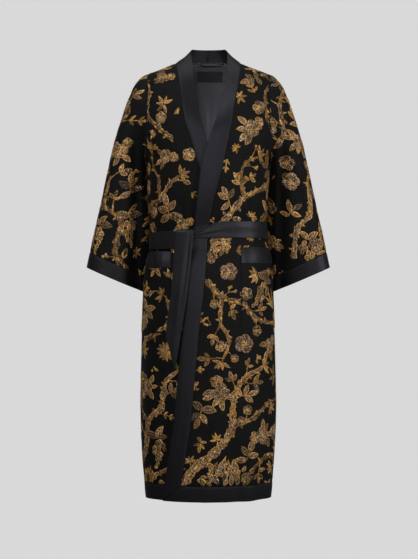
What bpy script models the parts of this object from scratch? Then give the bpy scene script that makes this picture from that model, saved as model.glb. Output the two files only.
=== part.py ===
# Kimono coat, worn and belted, as it stands on a general figure with no wearer.
# Metres, +Z up, the front faces -Y, the wearer's left is +X.
# The origin lies between the two shoulder seams at the base of the neck, where the wearer's shoulders hold the coat.
#
# The body is one smooth form, rings below the chest and an arch over the shoulders. Every panel is cut out of it
# along the garment's own seam lines, given the thickness of its cloth, and kept a seam's gap from its neighbours.

import math
from collections import namedtuple

import bpy
import bmesh
import numpy as np
from mathutils import Matrix

MM = 0.001

# ---------------------------------------------------------------- driving dimensions
BROCADE_T = 1.5 * MM  # brocade of the body and sleeves
SATIN_T = 2.4 * MM  # bands, hem and cuffs: satin folded double
LINING_T = 1.0 * MM
LINING_LOW = -80 * MM  # the lining ends this far below the arch, between the armholes
POCKET_T = 1.2 * MM
BELT_T = 2.0 * MM
GAP = 0.3 * MM  # between two pieces at a seam
TURN = 0.45 * MM  # left off each of two pieces whose seam lies on a tight bend, so their inner faces keep the gap
HEM_Z = -1124 * MM
TRIM_H = 40 * MM  # height of the hem band and of the cuffs
ARMPIT_Z = -246 * MM
ARCH_Z = -140 * MM  # where the form starts to bend over to the shoulder
SHOULDER_Y = 8 * MM
ARMHOLE_EASE = 0.14  # how much wider the chest's ring is than its armholes
RING_POWER = 2.3  # 2 is an ellipse; more is squarer
WAIST_Z = -446 * MM  # middle of the belt
SLANT = 14.5 * MM  # the belt is this much higher at the wearer's left, and lower at the right
WRAP = 3.0 * MM  # each front lies this far out from, or in from, the form where the two overlap
NECK_BACK_Z = 16 * MM  # the back neckline at its centre
LABEL_SIZE = (76 * MM, 27 * MM)

BodyRow = namedtuple("BodyRow", "z half_width front back")
BODY = [  # the form's rings, from the hem up, in mm
    BodyRow(-1124, 163.0, 110.0, 103.0),
    BodyRow(-1085, 167.0, 112.0, 106.0),
    BodyRow(-1020, 172.5, 115.0, 110.0),
    BodyRow(-875, 176.5, 119.0, 115.0),
    BodyRow(-731, 174.0, 121.0, 117.0),
    BodyRow(-613, 169.5, 121.0, 116.0),
    BodyRow(-540, 166.5, 118.0, 113.0),
    BodyRow(-510, 162.5, 113.5, 109.0),
    BodyRow(-484, 154.0, 105.0, 101.0),
    BodyRow(-470, 149.5, 101.0, 97.0),
    BodyRow(-446, 149.0, 100.5, 96.5),
    BodyRow(-422, 149.5, 101.0, 96.5),
    BodyRow(-408, 152.5, 105.0, 97.0),
    BodyRow(-380, 156.0, 112.0, 98.5),
    BodyRow(-325, 158.0, 121.0, 100.0),
    BodyRow(-246, 158.0, 126.0, 104.0),
    BodyRow(-180, 157.5, 124.0, 107.0),
    BodyRow(-100, 157.5, 114.0, 105.0),
    BodyRow(60, 157.5, 100.0, 98.0),
]

ShoulderRow = namedtuple("ShoulderRow", "x z")
SHOULDER = [  # the crest of the form, seen from the front, in mm
    ShoulderRow(0, 39.0),
    ShoulderRow(40, 32.0),
    ShoulderRow(68, 17.0),
    ShoulderRow(84.5, 6.9),
    ShoulderRow(127.9, -10.5),
    ShoulderRow(157, -21.0),
    ShoulderRow(190, -34.0),
]

# One row for each section of a front band, from the centre of the back neck, over the shoulder and down to the hem.
# seam is the edge sewn to the coat and free is the open edge, in mm. free_y is used only where the band stands
# away from the form, round the neck; on is 0 there and 1 where the band lies on the form.
BandRow = namedtuple("BandRow", "seam_x seam_z free_x free_y free_z on")
LEFT_BAND = [  # the wearer's left, which lies on top
    BandRow(0.0, 16.0, 0.0, 46.0, 49.5, 0),
    BandRow(30.0, 14.8, 20.0, 44.5, 49.5, 0),
    BandRow(60.0, 11.4, 37.0, 37.0, 49.0, 0),
    BandRow(78.0, 8.2, 45.8, 22.0, 46.5, 0),
    BandRow(84.5, 6.9, 49.2, 5.0, 34.5, 0),
    BandRow(82.3, -15.5, 49.6, -20.0, 10.0, 0),
    BandRow(80.4, -35.1, 48.5, -46.0, -13.0, 0),
    BandRow(76.2, -64.7, 45.0, -68.0, -43.0, 0),
    BandRow(71.4, -89.5, 39.5, -82.0, -78.0, 0.1),
    BandRow(64.8, -122.9, 28.5, -95.0, -123.0, 0.3),
    BandRow(60.0, -155.7, 17.8, -106.0, -157.0, 0.6),
    BandRow(51.9, -194.3, 5.5, -114.0, -196.0, 0.9),
    BandRow(43.9, -235.0, -9.5, -120.0, -238.0, 1),
    BandRow(32.9, -283.1, -20.5, 0.0, -285.0, 1),
    BandRow(20.5, -330.0, -26.0, 0.0, -331.0, 1),
    BandRow(9.3, -377.5, -30.5, 0.0, -377.5, 1),
    BandRow(-1.8, -455.0, -39.5, 0.0, -455.0, 1),
    BandRow(-6.5, -527.0, -46.5, 0.0, -527.0, 1),
    BandRow(-14.4, -611.1, -54.5, 0.0, -611.1, 1),
    BandRow(-22.5, -680.0, -63.0, 0.0, -680.0, 1),
    BandRow(-28.5, -749.8, -71.0, 0.0, -749.8, 1),
    BandRow(-34.8, -812.9, -77.5, 0.0, -812.9, 1),
    BandRow(-40.5, -880.0, -83.5, 0.0, -880.0, 1),
    BandRow(-48.0, -950.0, -91.0, 0.0, -950.0, 1),
    BandRow(-58.5, -1015.0, -101.0, 0.0, -1015.0, 1),
    BandRow(-68.5, -1075.0, -110.5, 0.0, -1075.0, 1),
    BandRow(-73.5, -1124.0, -115.5, 0.0, -1124.0, 1),
]
RIGHT_BAND = [  # the wearer's right, mirrored here to +X, which lies underneath
    BandRow(0.0, 16.0, 0.0, 46.0, 49.5, 0),
    BandRow(29.0, 14.9, 19.5, 44.5, 49.5, 0),
    BandRow(58.0, 11.7, 35.5, 37.0, 49.0, 0),
    BandRow(77.0, 8.6, 43.2, 22.0, 46.5, 0),
    BandRow(84.5, 6.9, 45.0, 5.0, 34.5, 0),
    BandRow(80.0, -15.5, 42.0, -20.0, 10.0, 0),
    BandRow(76.8, -35.1, 39.0, -46.0, -13.0, 0),
    BandRow(72.2, -60.0, 36.0, -68.0, -42.0, 0),
    BandRow(67.6, -89.5, 31.5, -82.0, -77.0, 0.1),
    BandRow(63.5, -122.9, 24.5, -95.0, -120.0, 0.3),
    BandRow(58.7, -155.7, 17.4, -106.0, -156.0, 0.6),
    BandRow(46.0, -194.3, 8.0, -112.0, -196.0, 0.9),
    BandRow(33.3, -238.7, -6.0, -118.0, -240.0, 1),
    BandRow(20.7, -283.0, -20.0, 0.0, -285.0, 1),
    BandRow(9.0, -330.0, -32.0, 0.0, -331.0, 1),
    BandRow(0.0, -377.5, -41.0, 0.0, -377.5, 1),
    BandRow(-9.0, -455.0, -50.0, 0.0, -455.0, 1),
    BandRow(-14.0, -527.0, -55.0, 0.0, -527.0, 1),
    BandRow(-20.0, -611.1, -61.0, 0.0, -611.1, 1),
    BandRow(-26.0, -680.0, -67.5, 0.0, -680.0, 1),
    BandRow(-32.0, -749.8, -74.0, 0.0, -749.8, 1),
    BandRow(-37.0, -812.9, -79.5, 0.0, -812.9, 1),
    BandRow(-42.5, -880.0, -85.0, 0.0, -880.0, 1),
    BandRow(-49.0, -950.0, -92.0, 0.0, -950.0, 1),
    BandRow(-58.5, -1015.0, -101.0, 0.0, -1015.0, 1),
    BandRow(-67.5, -1075.0, -109.5, 0.0, -1075.0, 1),
    BandRow(-72.5, -1124.0, -114.5, 0.0, -1124.0, 1),
]

# A sleeve's rings, each from its outer edge to its inner edge, in mm. at runs from 0, the armhole, to 1, the opening.
# inner_y is how far back the inner edge hangs, which is just behind the coat's side.
SleeveRow = namedtuple("SleeveRow", "at outer_x outer_z inner_x inner_z half_depth inner_y")
SLEEVE = [
    SleeveRow(0.000, 158.4, -20.5, 159.8, -246.0, 60.0, 0.0),
    SleeveRow(0.025, 170.0, -26.2, 160.8, -254.0, 59.5, 22.0),
    SleeveRow(0.055, 185.5, -41.9, 160.4, -263.0, 59.0, 40.0),
    SleeveRow(0.085, 196.0, -57.6, 159.6, -271.0, 58.5, 50.0),
    SleeveRow(0.115, 202.5, -73.4, 159.0, -279.0, 58.0, 54.0),
    SleeveRow(0.150, 209.1, -89.1, 158.6, -289.0, 57.5, 55.0),
    SleeveRow(0.210, 219.6, -120.5, 158.0, -306.0, 56.5, 54.0),
    SleeveRow(0.280, 230.0, -152.0, 157.3, -327.0, 56.0, 53.0),
    SleeveRow(0.400, 247.0, -207.0, 155.9, -364.0, 55.0, 53.0),
    SleeveRow(0.550, 262.5, -275.0, 151.3, -414.0, 54.0, 55.0),
    SleeveRow(0.700, 279.8, -356.3, 151.5, -464.0, 52.5, 56.0),
    SleeveRow(0.850, 298.0, -440.0, 161.5, -518.0, 50.5, 55.0),
    SleeveRow(0.934, 309.0, -489.2, 166.0, -556.5, 49.0, 55.0),
    SleeveRow(1.000, 317.3, -528.2, 167.0, -594.0, 48.0, 55.0),
]
CUFF_AT = 0.934
SLEEVE_POWER = 2.6

# The deep upright fold of each sleeve beside the body. x and width in mm, depth in mm.
FoldRow = namedtuple("FoldRow", "sleeve face x width depth")
SLEEVE_FOLDS = [
    FoldRow("left", "front", 193.0, 13.0, 15.0),
    FoldRow("left", "back", 196.0, 16.0, 10.0),
    FoldRow("right", "front", 189.0, 16.0, 19.0),
    FoldRow("right", "back", 194.0, 16.0, 10.0),
]

PocketRow = namedtuple("PocketRow", "side top_z bottom_z inner_x")
POCKETS = [PocketRow("left", -478.0, -685.0, 83.0), PocketRow("right", -489.0, -696.0, 95.0)]
POCKET_TRIM_H = 40 * MM
POCKET_SIDE = 8 * MM  # from a pocket's outer edge to the side seam

# The hanging end of the belt that shows, and the other end behind it, in mm. out is how far from the form it hangs.
TailRow = namedtuple("TailRow", "z left right out")
FRONT_TAIL = [
    TailRow(-435.2, -80.0, -38.0, 12.5),
    TailRow(-434.3, -80.5, -37.5, 17.5),
    TailRow(-436.4, -81.0, -37.0, 22.4),
    TailRow(-442.5, -81.5, -37.0, 23.6),
    TailRow(-460.0, -83.5, -38.2, 24.2),
    TailRow(-488.0, -86.0, -41.0, 23.4),
    TailRow(-506.0, -87.5, -42.5, 17.0),
    TailRow(-535.0, -89.0, -45.8, 12.0),
    TailRow(-575.0, -93.0, -50.5, 10.2),
    TailRow(-618.0, -98.0, -56.0, 9.8),
    TailRow(-660.0, -104.0, -62.5, 9.8),
    TailRow(-704.0, -108.4, -69.7, 9.8),
    TailRow(-789.7, -117.0, -83.6, 9.8),
]
TAIL_CUT = (-704 * MM, -789.7 * MM)  # the slanting end: where the left and right edges stop
BACK_TAIL = [
    TailRow(-490.0, -80.0, -48.0, 7.0),
    TailRow(-535.0, -84.0, -52.0, 6.9),
    TailRow(-600.0, -91.0, -60.0, 6.9),
    TailRow(-670.0, -99.0, -70.0, 6.9),
]
BACK_TAIL_CUT = (-625 * MM, -670 * MM)
CUT_FROM = -560 * MM  # a belt end's rows turn into its slanting cut from here down
KNOT = (-60.5 * MM, -462.5 * MM)  # the knot's middle
KNOT_SIZE = (50 * MM, 11.5 * MM, 48 * MM)
KNOT_OUT = 9.7 * MM  # from the form to the knot's back
KNOT_TURN = math.radians(-12.8)  # so that the knot lies along the form


# ---------------------------------------------------------------- helpers
def curve_through(xs, ys):
    """A smooth curve through the points of a table that never swings past them."""
    order = np.argsort(xs)
    xs, ys = np.asarray(xs, float)[order], np.asarray(ys, float)[order]
    step, slope = np.diff(xs), np.diff(ys) / np.diff(xs)
    tangent = np.concatenate([[slope[0]], np.zeros(len(xs) - 2), [slope[-1]]])
    for i in range(1, len(xs) - 1):
        a, b = slope[i - 1], slope[i]
        if a * b > 0:
            u, v = 2 * step[i] + step[i - 1], step[i] + 2 * step[i - 1]
            tangent[i] = (u + v) / (u / a + v / b)

    def value(x):
        x = np.asarray(x, float)
        i = np.clip(np.searchsorted(xs, x) - 1, 0, len(xs) - 2)
        t = np.clip((x - xs[i]) / step[i], 0, 1)
        return (
            (2 * t**3 - 3 * t**2 + 1) * ys[i]
            + (t**3 - 2 * t**2 + t) * step[i] * tangent[i]
            + (3 * t**2 - 2 * t**3) * ys[i + 1]
            + (t**3 - t**2) * step[i] * tangent[i + 1]
        )

    return value


def column(rows, name, key="z"):
    """A table's column as a curve over another of its columns, both in metres."""
    return curve_through(
        [getattr(r, key) * MM for r in rows], [getattr(r, name) * MM for r in rows]
    )


def smooth(t):
    t = np.clip(t, 0, 1)
    return t * t * (3 - 2 * t)


def resample(points, count, start=0.0, end=0.0):
    """The line again with count points evenly spaced along it, leaving out the given lengths at its ends."""
    along = np.concatenate([[0], np.cumsum(np.linalg.norm(np.diff(points, axis=0), axis=1))])
    at = np.linspace(start, along[-1] - end, count)
    return np.stack([np.interp(at, along, points[:, k]) for k in range(3)], axis=1)


def normals_of(grid):
    """Unit normals of a grid of points, rows by columns."""
    down, across = np.gradient(grid, axis=0), np.gradient(grid, axis=1)
    n = np.cross(down, across)
    return n / np.maximum(np.linalg.norm(n, axis=2, keepdims=True), 1e-12)


def moved_out(grid, distance):
    """The grid moved along its normals, away from the middle of the body."""
    n = normals_of(grid)
    middle = grid.copy()
    middle[..., :2] = 0
    facing = np.sign(((grid - middle) * n).sum())
    return grid + n * facing * np.asarray(distance)[..., None]


# ---------------------------------------------------------------- the body's form
half_width_at = column(BODY, "half_width")
front_at = column(BODY, "front")
back_at = column(BODY, "back")
crest_at = column(SHOULDER, "z", "x")


def unslanted(x, z):
    """The height that a point has in the body's table, where the belt lies level."""
    return z - SLANT * np.tanh(x / 0.07) * np.exp(-(((z - WAIST_Z) / 0.09) ** 2))


def ring_width(x, z):
    above = np.clip((z - ARMPIT_Z) / 0.07, 0, 1)
    return half_width_at(unslanted(x, z)) * (1 + ARMHOLE_EASE * above * (2 - above))


def form_y(x, z, back):
    """The form's depth at a place seen from the front. back is True behind and False in front."""
    share = np.clip(np.abs(x) / ring_width(x, z), 0, 1)
    z_table = unslanted(x, z)
    y = (1 - share**RING_POWER) ** (1 / RING_POWER)
    y = y * (back_at(z_table) if back else -front_at(z_table))
    rise = np.clip((z - ARCH_Z) / (crest_at(np.abs(x)) - ARCH_Z), 0, 1)
    return SHOULDER_Y + (y - SHOULDER_Y) * np.sqrt(1 - rise**2) if np.any(rise > 0) else y


def neckline_z(x):
    """The back neckline's height."""
    edge = LEFT_BAND[4].seam_x * MM
    return NECK_BACK_Z + (LEFT_BAND[4].seam_z * MM - NECK_BACK_Z) * np.clip(np.abs(x) / edge, 0, 1) ** 2


def form_row(station, back, fine=721):
    """A line across the form from the wearer's left (+X) to the right. A station up to 0 is a height below the arch,
    and one from 0 to 1 is a share of the way up the arch to the shoulder seam or the back neckline."""
    turn = np.linspace(math.pi / 2, -math.pi / 2, fine)
    s = np.sign(np.sin(turn)) * np.abs(np.sin(turn)) ** (2 / RING_POWER)
    c = np.abs(np.cos(turn)) ** (2 / RING_POWER)
    z = np.full(fine, min(ARCH_Z, ARCH_Z + station))
    x = s * 0.155
    for _ in range(3):
        x = s * ring_width(x, z)
    if station <= 0:
        e = unslanted(x, z)
        y = c * (back_at(e) if back else -front_at(e))
    else:
        crest = crest_at(np.abs(x))
        top = np.ones(fine)
        if back:
            top = np.clip((neckline_z(x) - ARCH_Z) / (crest - ARCH_Z), 0, 1)
            top = np.where(np.abs(x) < LEFT_BAND[4].seam_x * MM, top, 1)
        angle = station * np.arcsin(top)
        z = ARCH_Z + (crest - ARCH_Z) * np.sin(angle)
        y = c * (back_at(z) if back else -front_at(z))
        y = SHOULDER_Y + (y - SHOULDER_Y) * np.cos(angle)
    points = np.stack([x, y, z], axis=1)
    if station > ARMPIT_Z - ARCH_Z:  # open at the armholes
        arm = half_width_at(z)
        inside = np.abs(x) <= arm
        first, last = np.argmax(inside), len(x) - 1 - np.argmax(inside[::-1])
        ends = []
        for i, j in ((first - 1, first), (last + 1, last)):
            t = (arm[j] - abs(x[i])) / (abs(x[j]) - abs(x[i]))
            ends.append(points[i] + (points[j] - points[i]) * t)
        points = np.concatenate([[ends[0]], points[first : last + 1], [ends[1]]])
    return points


def cut_at(line, x_of_z):
    """The part of a line from its +X end to where it crosses the edge x = x_of_z(z)."""
    gap = line[:, 0] - x_of_z(line[:, 2])
    i = int(np.argmax(gap < 0)) if (gap < 0).any() else len(line) - 1
    t = gap[i - 1] / (gap[i - 1] - gap[i]) if gap[i] != gap[i - 1] else 1.0
    end = line[i - 1] + (line[i] - line[i - 1]) * min(max(t, 0.0), 1.0)
    return np.concatenate([line[:i], [end]])


def overlap_shift(x, z, side):
    """How far a front lies off the form where the fronts wrap. x is measured towards that front's own side."""
    reach = smooth((0.150 - x) / 0.05) * smooth((-z - 0.10) / 0.10)
    return (WRAP if side == "left" else -WRAP) * reach


def mirrored(grid, side):
    return grid * np.array([1.0 if side == "left" else -1.0, 1, 1])


class Slant:
    """Builds a mirrored front with the belt's slant on its own side."""

    def __init__(self, side):
        self.sign = 1.0 if side == "left" else -1.0

    def __enter__(self):
        global SLANT
        self.kept, SLANT = SLANT, SLANT * self.sign

    def __exit__(self, *ended):
        global SLANT
        SLANT = self.kept


# ---------------------------------------------------------------- the pieces, as grids of points
SKIRT_Z = [-1075, -1020, -948, -875, -790]  # heights of the panels' rows, from the hem band up, in mm
WAIST_ROWS_Z = [-468, -446, -424, -408, -380, -325, -246]
CHEST_Z = [-235, -215, -180, -140]
ARCH_STATIONS = [0.18, 0.36, 0.54, 0.7, 0.85, 1.0]


def panel_stations(side):
    """Where the rows of a panel lie. A front has a row at each edge of its pocket."""
    pocket = next((p for p in POCKETS if p.side == side), POCKETS[0])
    low, high = pocket.bottom_z, pocket.top_z - POCKET_TRIM_H / MM
    pocket_z = [low, low + 0.40 * (high - low), low + 0.74 * (high - low), high, pocket.top_z]
    heights = [h * MM for h in SKIRT_Z + pocket_z + WAIST_ROWS_Z + CHEST_Z]
    return [h - ARCH_Z for h in [HEM_Z + TRIM_H + GAP] + heights] + ARCH_STATIONS


def seam_curve(rows):
    """The edge between a front and its band, as x over z."""
    on_front = rows[4:]
    return curve_through([r.seam_z * MM for r in on_front], [r.seam_x * MM for r in on_front])


def free_curve(rows):
    lying = rows[12:]
    return curve_through([r.free_z * MM for r in lying], [r.free_x * MM for r in lying])


def shoulder_trimmed(grid, stations):
    """Keeps a panel clear of its neighbour across the shoulder seam."""
    if stations[-1] == 1.0:
        step = grid[-2] - grid[-1]
        grid[-1] += step * 0.3 * MM / np.linalg.norm(step, axis=1)[:, None]
    return grid


def front_grid(side, stations, columns, rows):
    edge = seam_curve(rows)
    with Slant(side):
        grid = np.array([resample(cut_at(form_row(s, False), edge), columns, TURN, GAP / 2) for s in stations])
    grid = shoulder_trimmed(grid, stations)
    grid[..., 1] -= overlap_shift(grid[..., 0], grid[..., 2], side)
    return mirrored(grid, side)


def back_grid(stations, columns, trim=TURN):
    """columns: how many from each armhole or side to under the neck's corner, and across the neck."""
    corner = LEFT_BAND[4].seam_x * MM
    rows = []
    for s in stations:
        line = form_row(s, True)
        i, j = np.argmax(line[:, 0] < corner), np.argmax(line[:, 0] < -corner)
        parts = [
            resample(line[: i + 1], columns[0] + 1, trim),
            resample(line[i : j + 1], columns[1] + 1),
            resample(line[j:], columns[0] + 1, 0, trim),
        ]
        rows.append(np.concatenate([parts[0][:-1], parts[1][:-1], parts[2]]))
    return shoulder_trimmed(np.array(rows), stations)


def hem_grid(side, rows, count_z, columns):
    """A hem band. At its front end it meets the front band in a mitre."""
    zs = np.linspace(HEM_Z, HEM_Z + TRIM_H - GAP, count_z)
    if side == "back":
        return np.array([resample(form_row(z - ARCH_Z, True), columns, TURN, TURN) for z in zs])
    seam, free = seam_curve(rows), free_curve(rows)

    def mitre(z):
        share = np.clip((HEM_Z + TRIM_H - z) / TRIM_H, 0, 1)
        return seam(z) * (1 - share) + free(z) * share

    with Slant(side):
        grid = np.array([resample(cut_at(form_row(z - ARCH_Z, False), mitre), columns, TURN, 2 * GAP) for z in zs])
    grid[..., 1] -= overlap_shift(grid[..., 0], grid[..., 2], side)
    return mirrored(grid, side)


def band_grid(side, rows, stations, across):
    """A front band, from its half of the back neck down to the mitre at the hem. Its seam edge runs through the
    ends of the back's and the front's own rows."""
    neck_rows, front_rows = rows[:5], rows[4:]
    neck = {n: curve_through([r.seam_x for r in neck_rows], [getattr(r, n) for r in neck_rows]) for n in BandRow._fields[2:]}
    lower = {n: curve_through([r.seam_z for r in front_rows], [getattr(r, n) for r in front_rows]) for n in BandRow._fields[2:]}
    edge, free_x = seam_curve(rows), free_curve(rows)
    c = np.linspace(0, 1, across)
    grid = []
    with Slant(side):
        top = form_row(1.0, True)
        corner = LEFT_BAND[4].seam_x * MM
        i, j = np.argmax(top[:, 0] < corner), np.argmax(top[:, 0] < 0)
        seams = [(p, neck, p[0]) for p in resample(top[i : j + 1], 4)[::-1]]
        heights = [(cut_at(form_row(s, False), edge)[-1], s) for s in stations[::-1][1:]]
        seams += [(p, lower, p[2]) for p, s in heights]
        for seam, field, key in seams:
            value = {n: float(f(key / MM)) for n, f in field.items()}
            free = np.array([value["free_x"], value["free_y"], value["free_z"]]) * MM
            loose = seam + (free - seam) * c[:, None]
            x, z = loose[:, 0], loose[:, 2]
            start, low = -0.99, HEM_Z + TRIM_H * (1 - c)
            if seam[2] < start:  # a column ends further down, the nearer it is to the free edge
                z = start + (seam[2] - start) * (low - start) / (HEM_Z + TRIM_H - start)
                x = edge(z) + (free_x(z) - edge(z)) * c
            on = value["on"] if field is lower else 0.0
            lying = np.stack([x, form_y(x, z, False), z], axis=1)
            line = loose * (1 - on) + lying * on
            line[:, 1] -= overlap_shift(line[:, 0], line[:, 2], side) * (on if seam[2] > -0.3 else 1)
            step = line[1] - line[0]
            line[0] += step / np.linalg.norm(step) * (GAP * 0.7 + 0.8 * MM * (1 - on))
            grid.append(line)
    grid = np.array(grid)
    grid[0, :, 0] = GAP / 2
    return mirrored(grid, side)


def sleeve_rings(side, ats, around, offset=0.0):
    """The sleeve's rings, each starting at the outer edge and running round the front, the inner edge and the back."""
    value = {n: curve_through([r.at for r in SLEEVE], [getattr(r, n) * MM for r in SLEEVE]) for n in SleeveRow._fields[1:]}
    psi = np.linspace(0, 2 * math.pi, 721)
    cosine, sine = np.cos(psi), np.sin(psi)
    reach = np.sign(cosine) * np.abs(cosine) ** (2 / SLEEVE_POWER)
    bulge = np.sign(sine) * np.abs(sine) ** (2 / SLEEVE_POWER)
    arm_x = half_width_at(-0.1) - 0.05 * MM
    arm_z = (-0.021 + ARMPIT_Z) / 2 + (-0.021 - ARMPIT_Z) / 2 * cosine
    arm_y = np.where(sine >= 0, form_y(np.full(721, arm_x), arm_z, False), form_y(np.full(721, arm_x), arm_z, True))
    rings = []
    for at in ats:
        o = np.array([value["outer_x"](at), value["outer_z"](at)])
        i = np.array([value["inner_x"](at), value["inner_z"](at)])
        w = smooth(at / 0.30)
        along = (1 - w) * cosine + w * reach
        xz = (o + i) / 2 + (o - i)[None] / 2 * along[:, None]
        y = (1 - w) * arm_y - w * (value["half_depth"](at) + offset) * bulge + value["inner_y"](at) * ((1 - along) / 2) ** 2
        for f in SLEEVE_FOLDS:
            if f.sleeve == side:
                face = np.clip(sine if f.face == "front" else -sine, 0, 1) ** 0.5
                size = f.depth * MM * smooth((at - 0.08) / 0.35) * face
                sign = 1 if f.face == "front" else -1
                y = y + sign * size * np.exp(-(((xz[:, 0] - f.x * MM) / (f.width * MM)) ** 2))
        ring = np.stack([xz[:, 0], y, xz[:, 1]], axis=1)
        front, rear = resample(ring[:361], around // 2 + 1), resample(ring[360:], around // 2 + 1)
        rings.append(np.concatenate([front[:-1], rear[:-1]]))
    return mirrored(np.array(rings), side)


def pocket_grid(panel, rows, inner, lift, low_gap=0.0, high_gap=0.0):
    """A pocket from the front's own points between two of its rows, cut at the pocket's sides and moved out."""
    lines = []
    for line in panel[rows[0] : rows[1] + 1]:
        last = int(np.argmax(np.abs(line[:, 0]) < inner))
        t = (abs(line[last - 1, 0]) - inner) / (abs(line[last - 1, 0]) - abs(line[last, 0]))
        end = line[last - 1] + (line[last] - line[last - 1]) * t
        step = line[1] - line[0]
        start = line[0] + step * POCKET_SIDE / np.linalg.norm(step)
        lines.append([start, *line[1:last], end])
    width = min(len(line) for line in lines)
    grid = np.array([line[: width - 1] + [line[-1]] for line in lines])
    for at, near, gap in ((0, 1, low_gap), (-1, -2, high_gap)):
        step = grid[near] - grid[at]
        grid[at] += step * gap / np.linalg.norm(step, axis=1)[:, None]
    return moved_out(grid, np.full(grid.shape[:2], lift))


def tail_grid(rows, cut, across):
    c = np.linspace(0, 1, across)
    ends = cut[0] + (cut[1] - cut[0]) * c
    low = rows[-1].z * MM
    edge = {n: column(rows[3:] if len(rows) > 4 else rows, n) for n in ("left", "right")}
    grid = []
    for r in rows:
        z = np.full(across, r.z * MM)
        left, right = np.full(across, r.left * MM), np.full(across, r.right * MM)
        if r.z * MM < CUT_FROM:
            z = CUT_FROM + (z - CUT_FROM) * (ends - CUT_FROM) / (low - CUT_FROM)
            left, right = edge["left"](z), edge["right"](z)
        x = left + (right - left) * c
        grid.append(np.stack([x, form_y(x, z, False) - r.out * MM, z], axis=1))
    return np.array(grid)


BELT_ENDS = (-62.5 * MM, -51.5 * MM)  # both ends of the loop run in behind the knot
BELT_LIFT = (4.3 * MM, 3.2 * MM)  # from the form to the belt, and how much further over the lapped fronts
BELT_H = (44.5 * MM, 13.0 * MM)  # the belt's height, and where it is drawn together at the knot
PINCH_REACH = 95 * MM
BELT_LOW = -453.5 * MM  # the lower edge at the wearer's left of the knot, which runs straight


def belt_grid(count, across):
    """The loop round the waist, from the knot over the wearer's right side and the back to the knot again."""
    front, behind = form_row(WAIST_Z - ARCH_Z, False), form_row(WAIST_Z - ARCH_Z, True)
    right = front[front[:, 0] < BELT_ENDS[0]]
    left = front[front[:, 0] > BELT_ENDS[1]]
    loop = np.concatenate([right, behind[::-1][1:], left[1:]])
    step = np.gradient(loop[:, :2], axis=0)
    out = np.stack([step[:, 1], -step[:, 0]], axis=1) / np.linalg.norm(step, axis=1)[:, None]
    out *= np.sign((out * loop[:, :2]).sum())
    x = loop[:, 0]
    in_front = loop[:, 1] < -0.03
    lift = BELT_LIFT[0] + BELT_LIFT[1] * smooth((x + 0.125) / 0.05) * smooth((0.15 - x) / 0.05) * in_front
    at_left = (np.arange(len(x)) > len(x) / 2) & in_front
    side = smooth((x - 0.085) / 0.055)
    opened = smooth((x - BELT_ENDS[1]) / PINCH_REACH) * (0.94 + 0.06 * side)
    opened = np.where(at_left, opened, 1.0)
    height = BELT_H[1] + (BELT_H[0] - BELT_H[1]) * opened
    slanted = WAIST_Z + SLANT * np.tanh(x / 0.07)
    middle_z = np.where(at_left, BELT_LOW + height / 2 + (slanted - BELT_LOW - height / 2) * side, slanted)
    middle = np.column_stack([loop[:, :2] + out * lift[:, None], middle_z])
    line = resample(middle, count)
    height = np.interp(np.linspace(0, 1, count), np.linspace(0, 1, len(height)), height)
    grid = np.repeat(line[:, None], across, axis=1)
    grid[..., 2] += height[:, None] / 2 * np.linspace(1, -1, across)
    return grid


# ---------------------------------------------------------------- objects
for old in list(bpy.data.objects):
    bpy.data.objects.remove(old)
collection = bpy.data.collections.new("kimono_coat")
bpy.context.scene.collection.children.link(collection)


def material(name, colour, roughness, metallic=0.0):
    made = bpy.data.materials.new(name)
    made.use_nodes = True
    shader = made.node_tree.nodes["Principled BSDF"]
    shader.inputs["Base Color"].default_value = (*colour, 1)
    shader.inputs["Roughness"].default_value = roughness
    shader.inputs["Metallic"].default_value = metallic
    return made


BROCADE = material("black_gold_brocade", (0.03, 0.026, 0.02), 0.7)
SATIN = material("black_satin", (0.012, 0.012, 0.013), 0.45)
LINING = material("grey_lining", (0.035, 0.033, 0.042), 0.5)


def place(obj, finish):
    own = finish.copy()
    own.name = obj.name + "_" + finish.name
    obj.data.materials.append(own)
    collection.objects.link(obj)
    return obj


def cloth(name, grid, thickness, finish, closed=False):
    """A piece of cloth: the grid's surface, given its thickness half to each side."""
    rows, columns = grid.shape[:2]
    faces = []
    for r in range(rows - 1):
        for c in range(columns if closed else columns - 1):
            d = (c + 1) % columns
            faces.append((r * columns + c, r * columns + d, (r + 1) * columns + d, (r + 1) * columns + c))
    mesh = bpy.data.meshes.new(name)
    mesh.from_pydata(grid.reshape(-1, 3).tolist(), [], faces)
    mesh.update()
    obj = place(bpy.data.objects.new(name, mesh), finish)
    solid = obj.modifiers.new("thickness", "SOLIDIFY")
    solid.thickness = thickness
    solid.offset = 0
    solid.use_even_offset = False
    mesh.shade_smooth()
    mesh.set_sharp_from_angle(angle=math.radians(50))
    return obj


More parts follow.
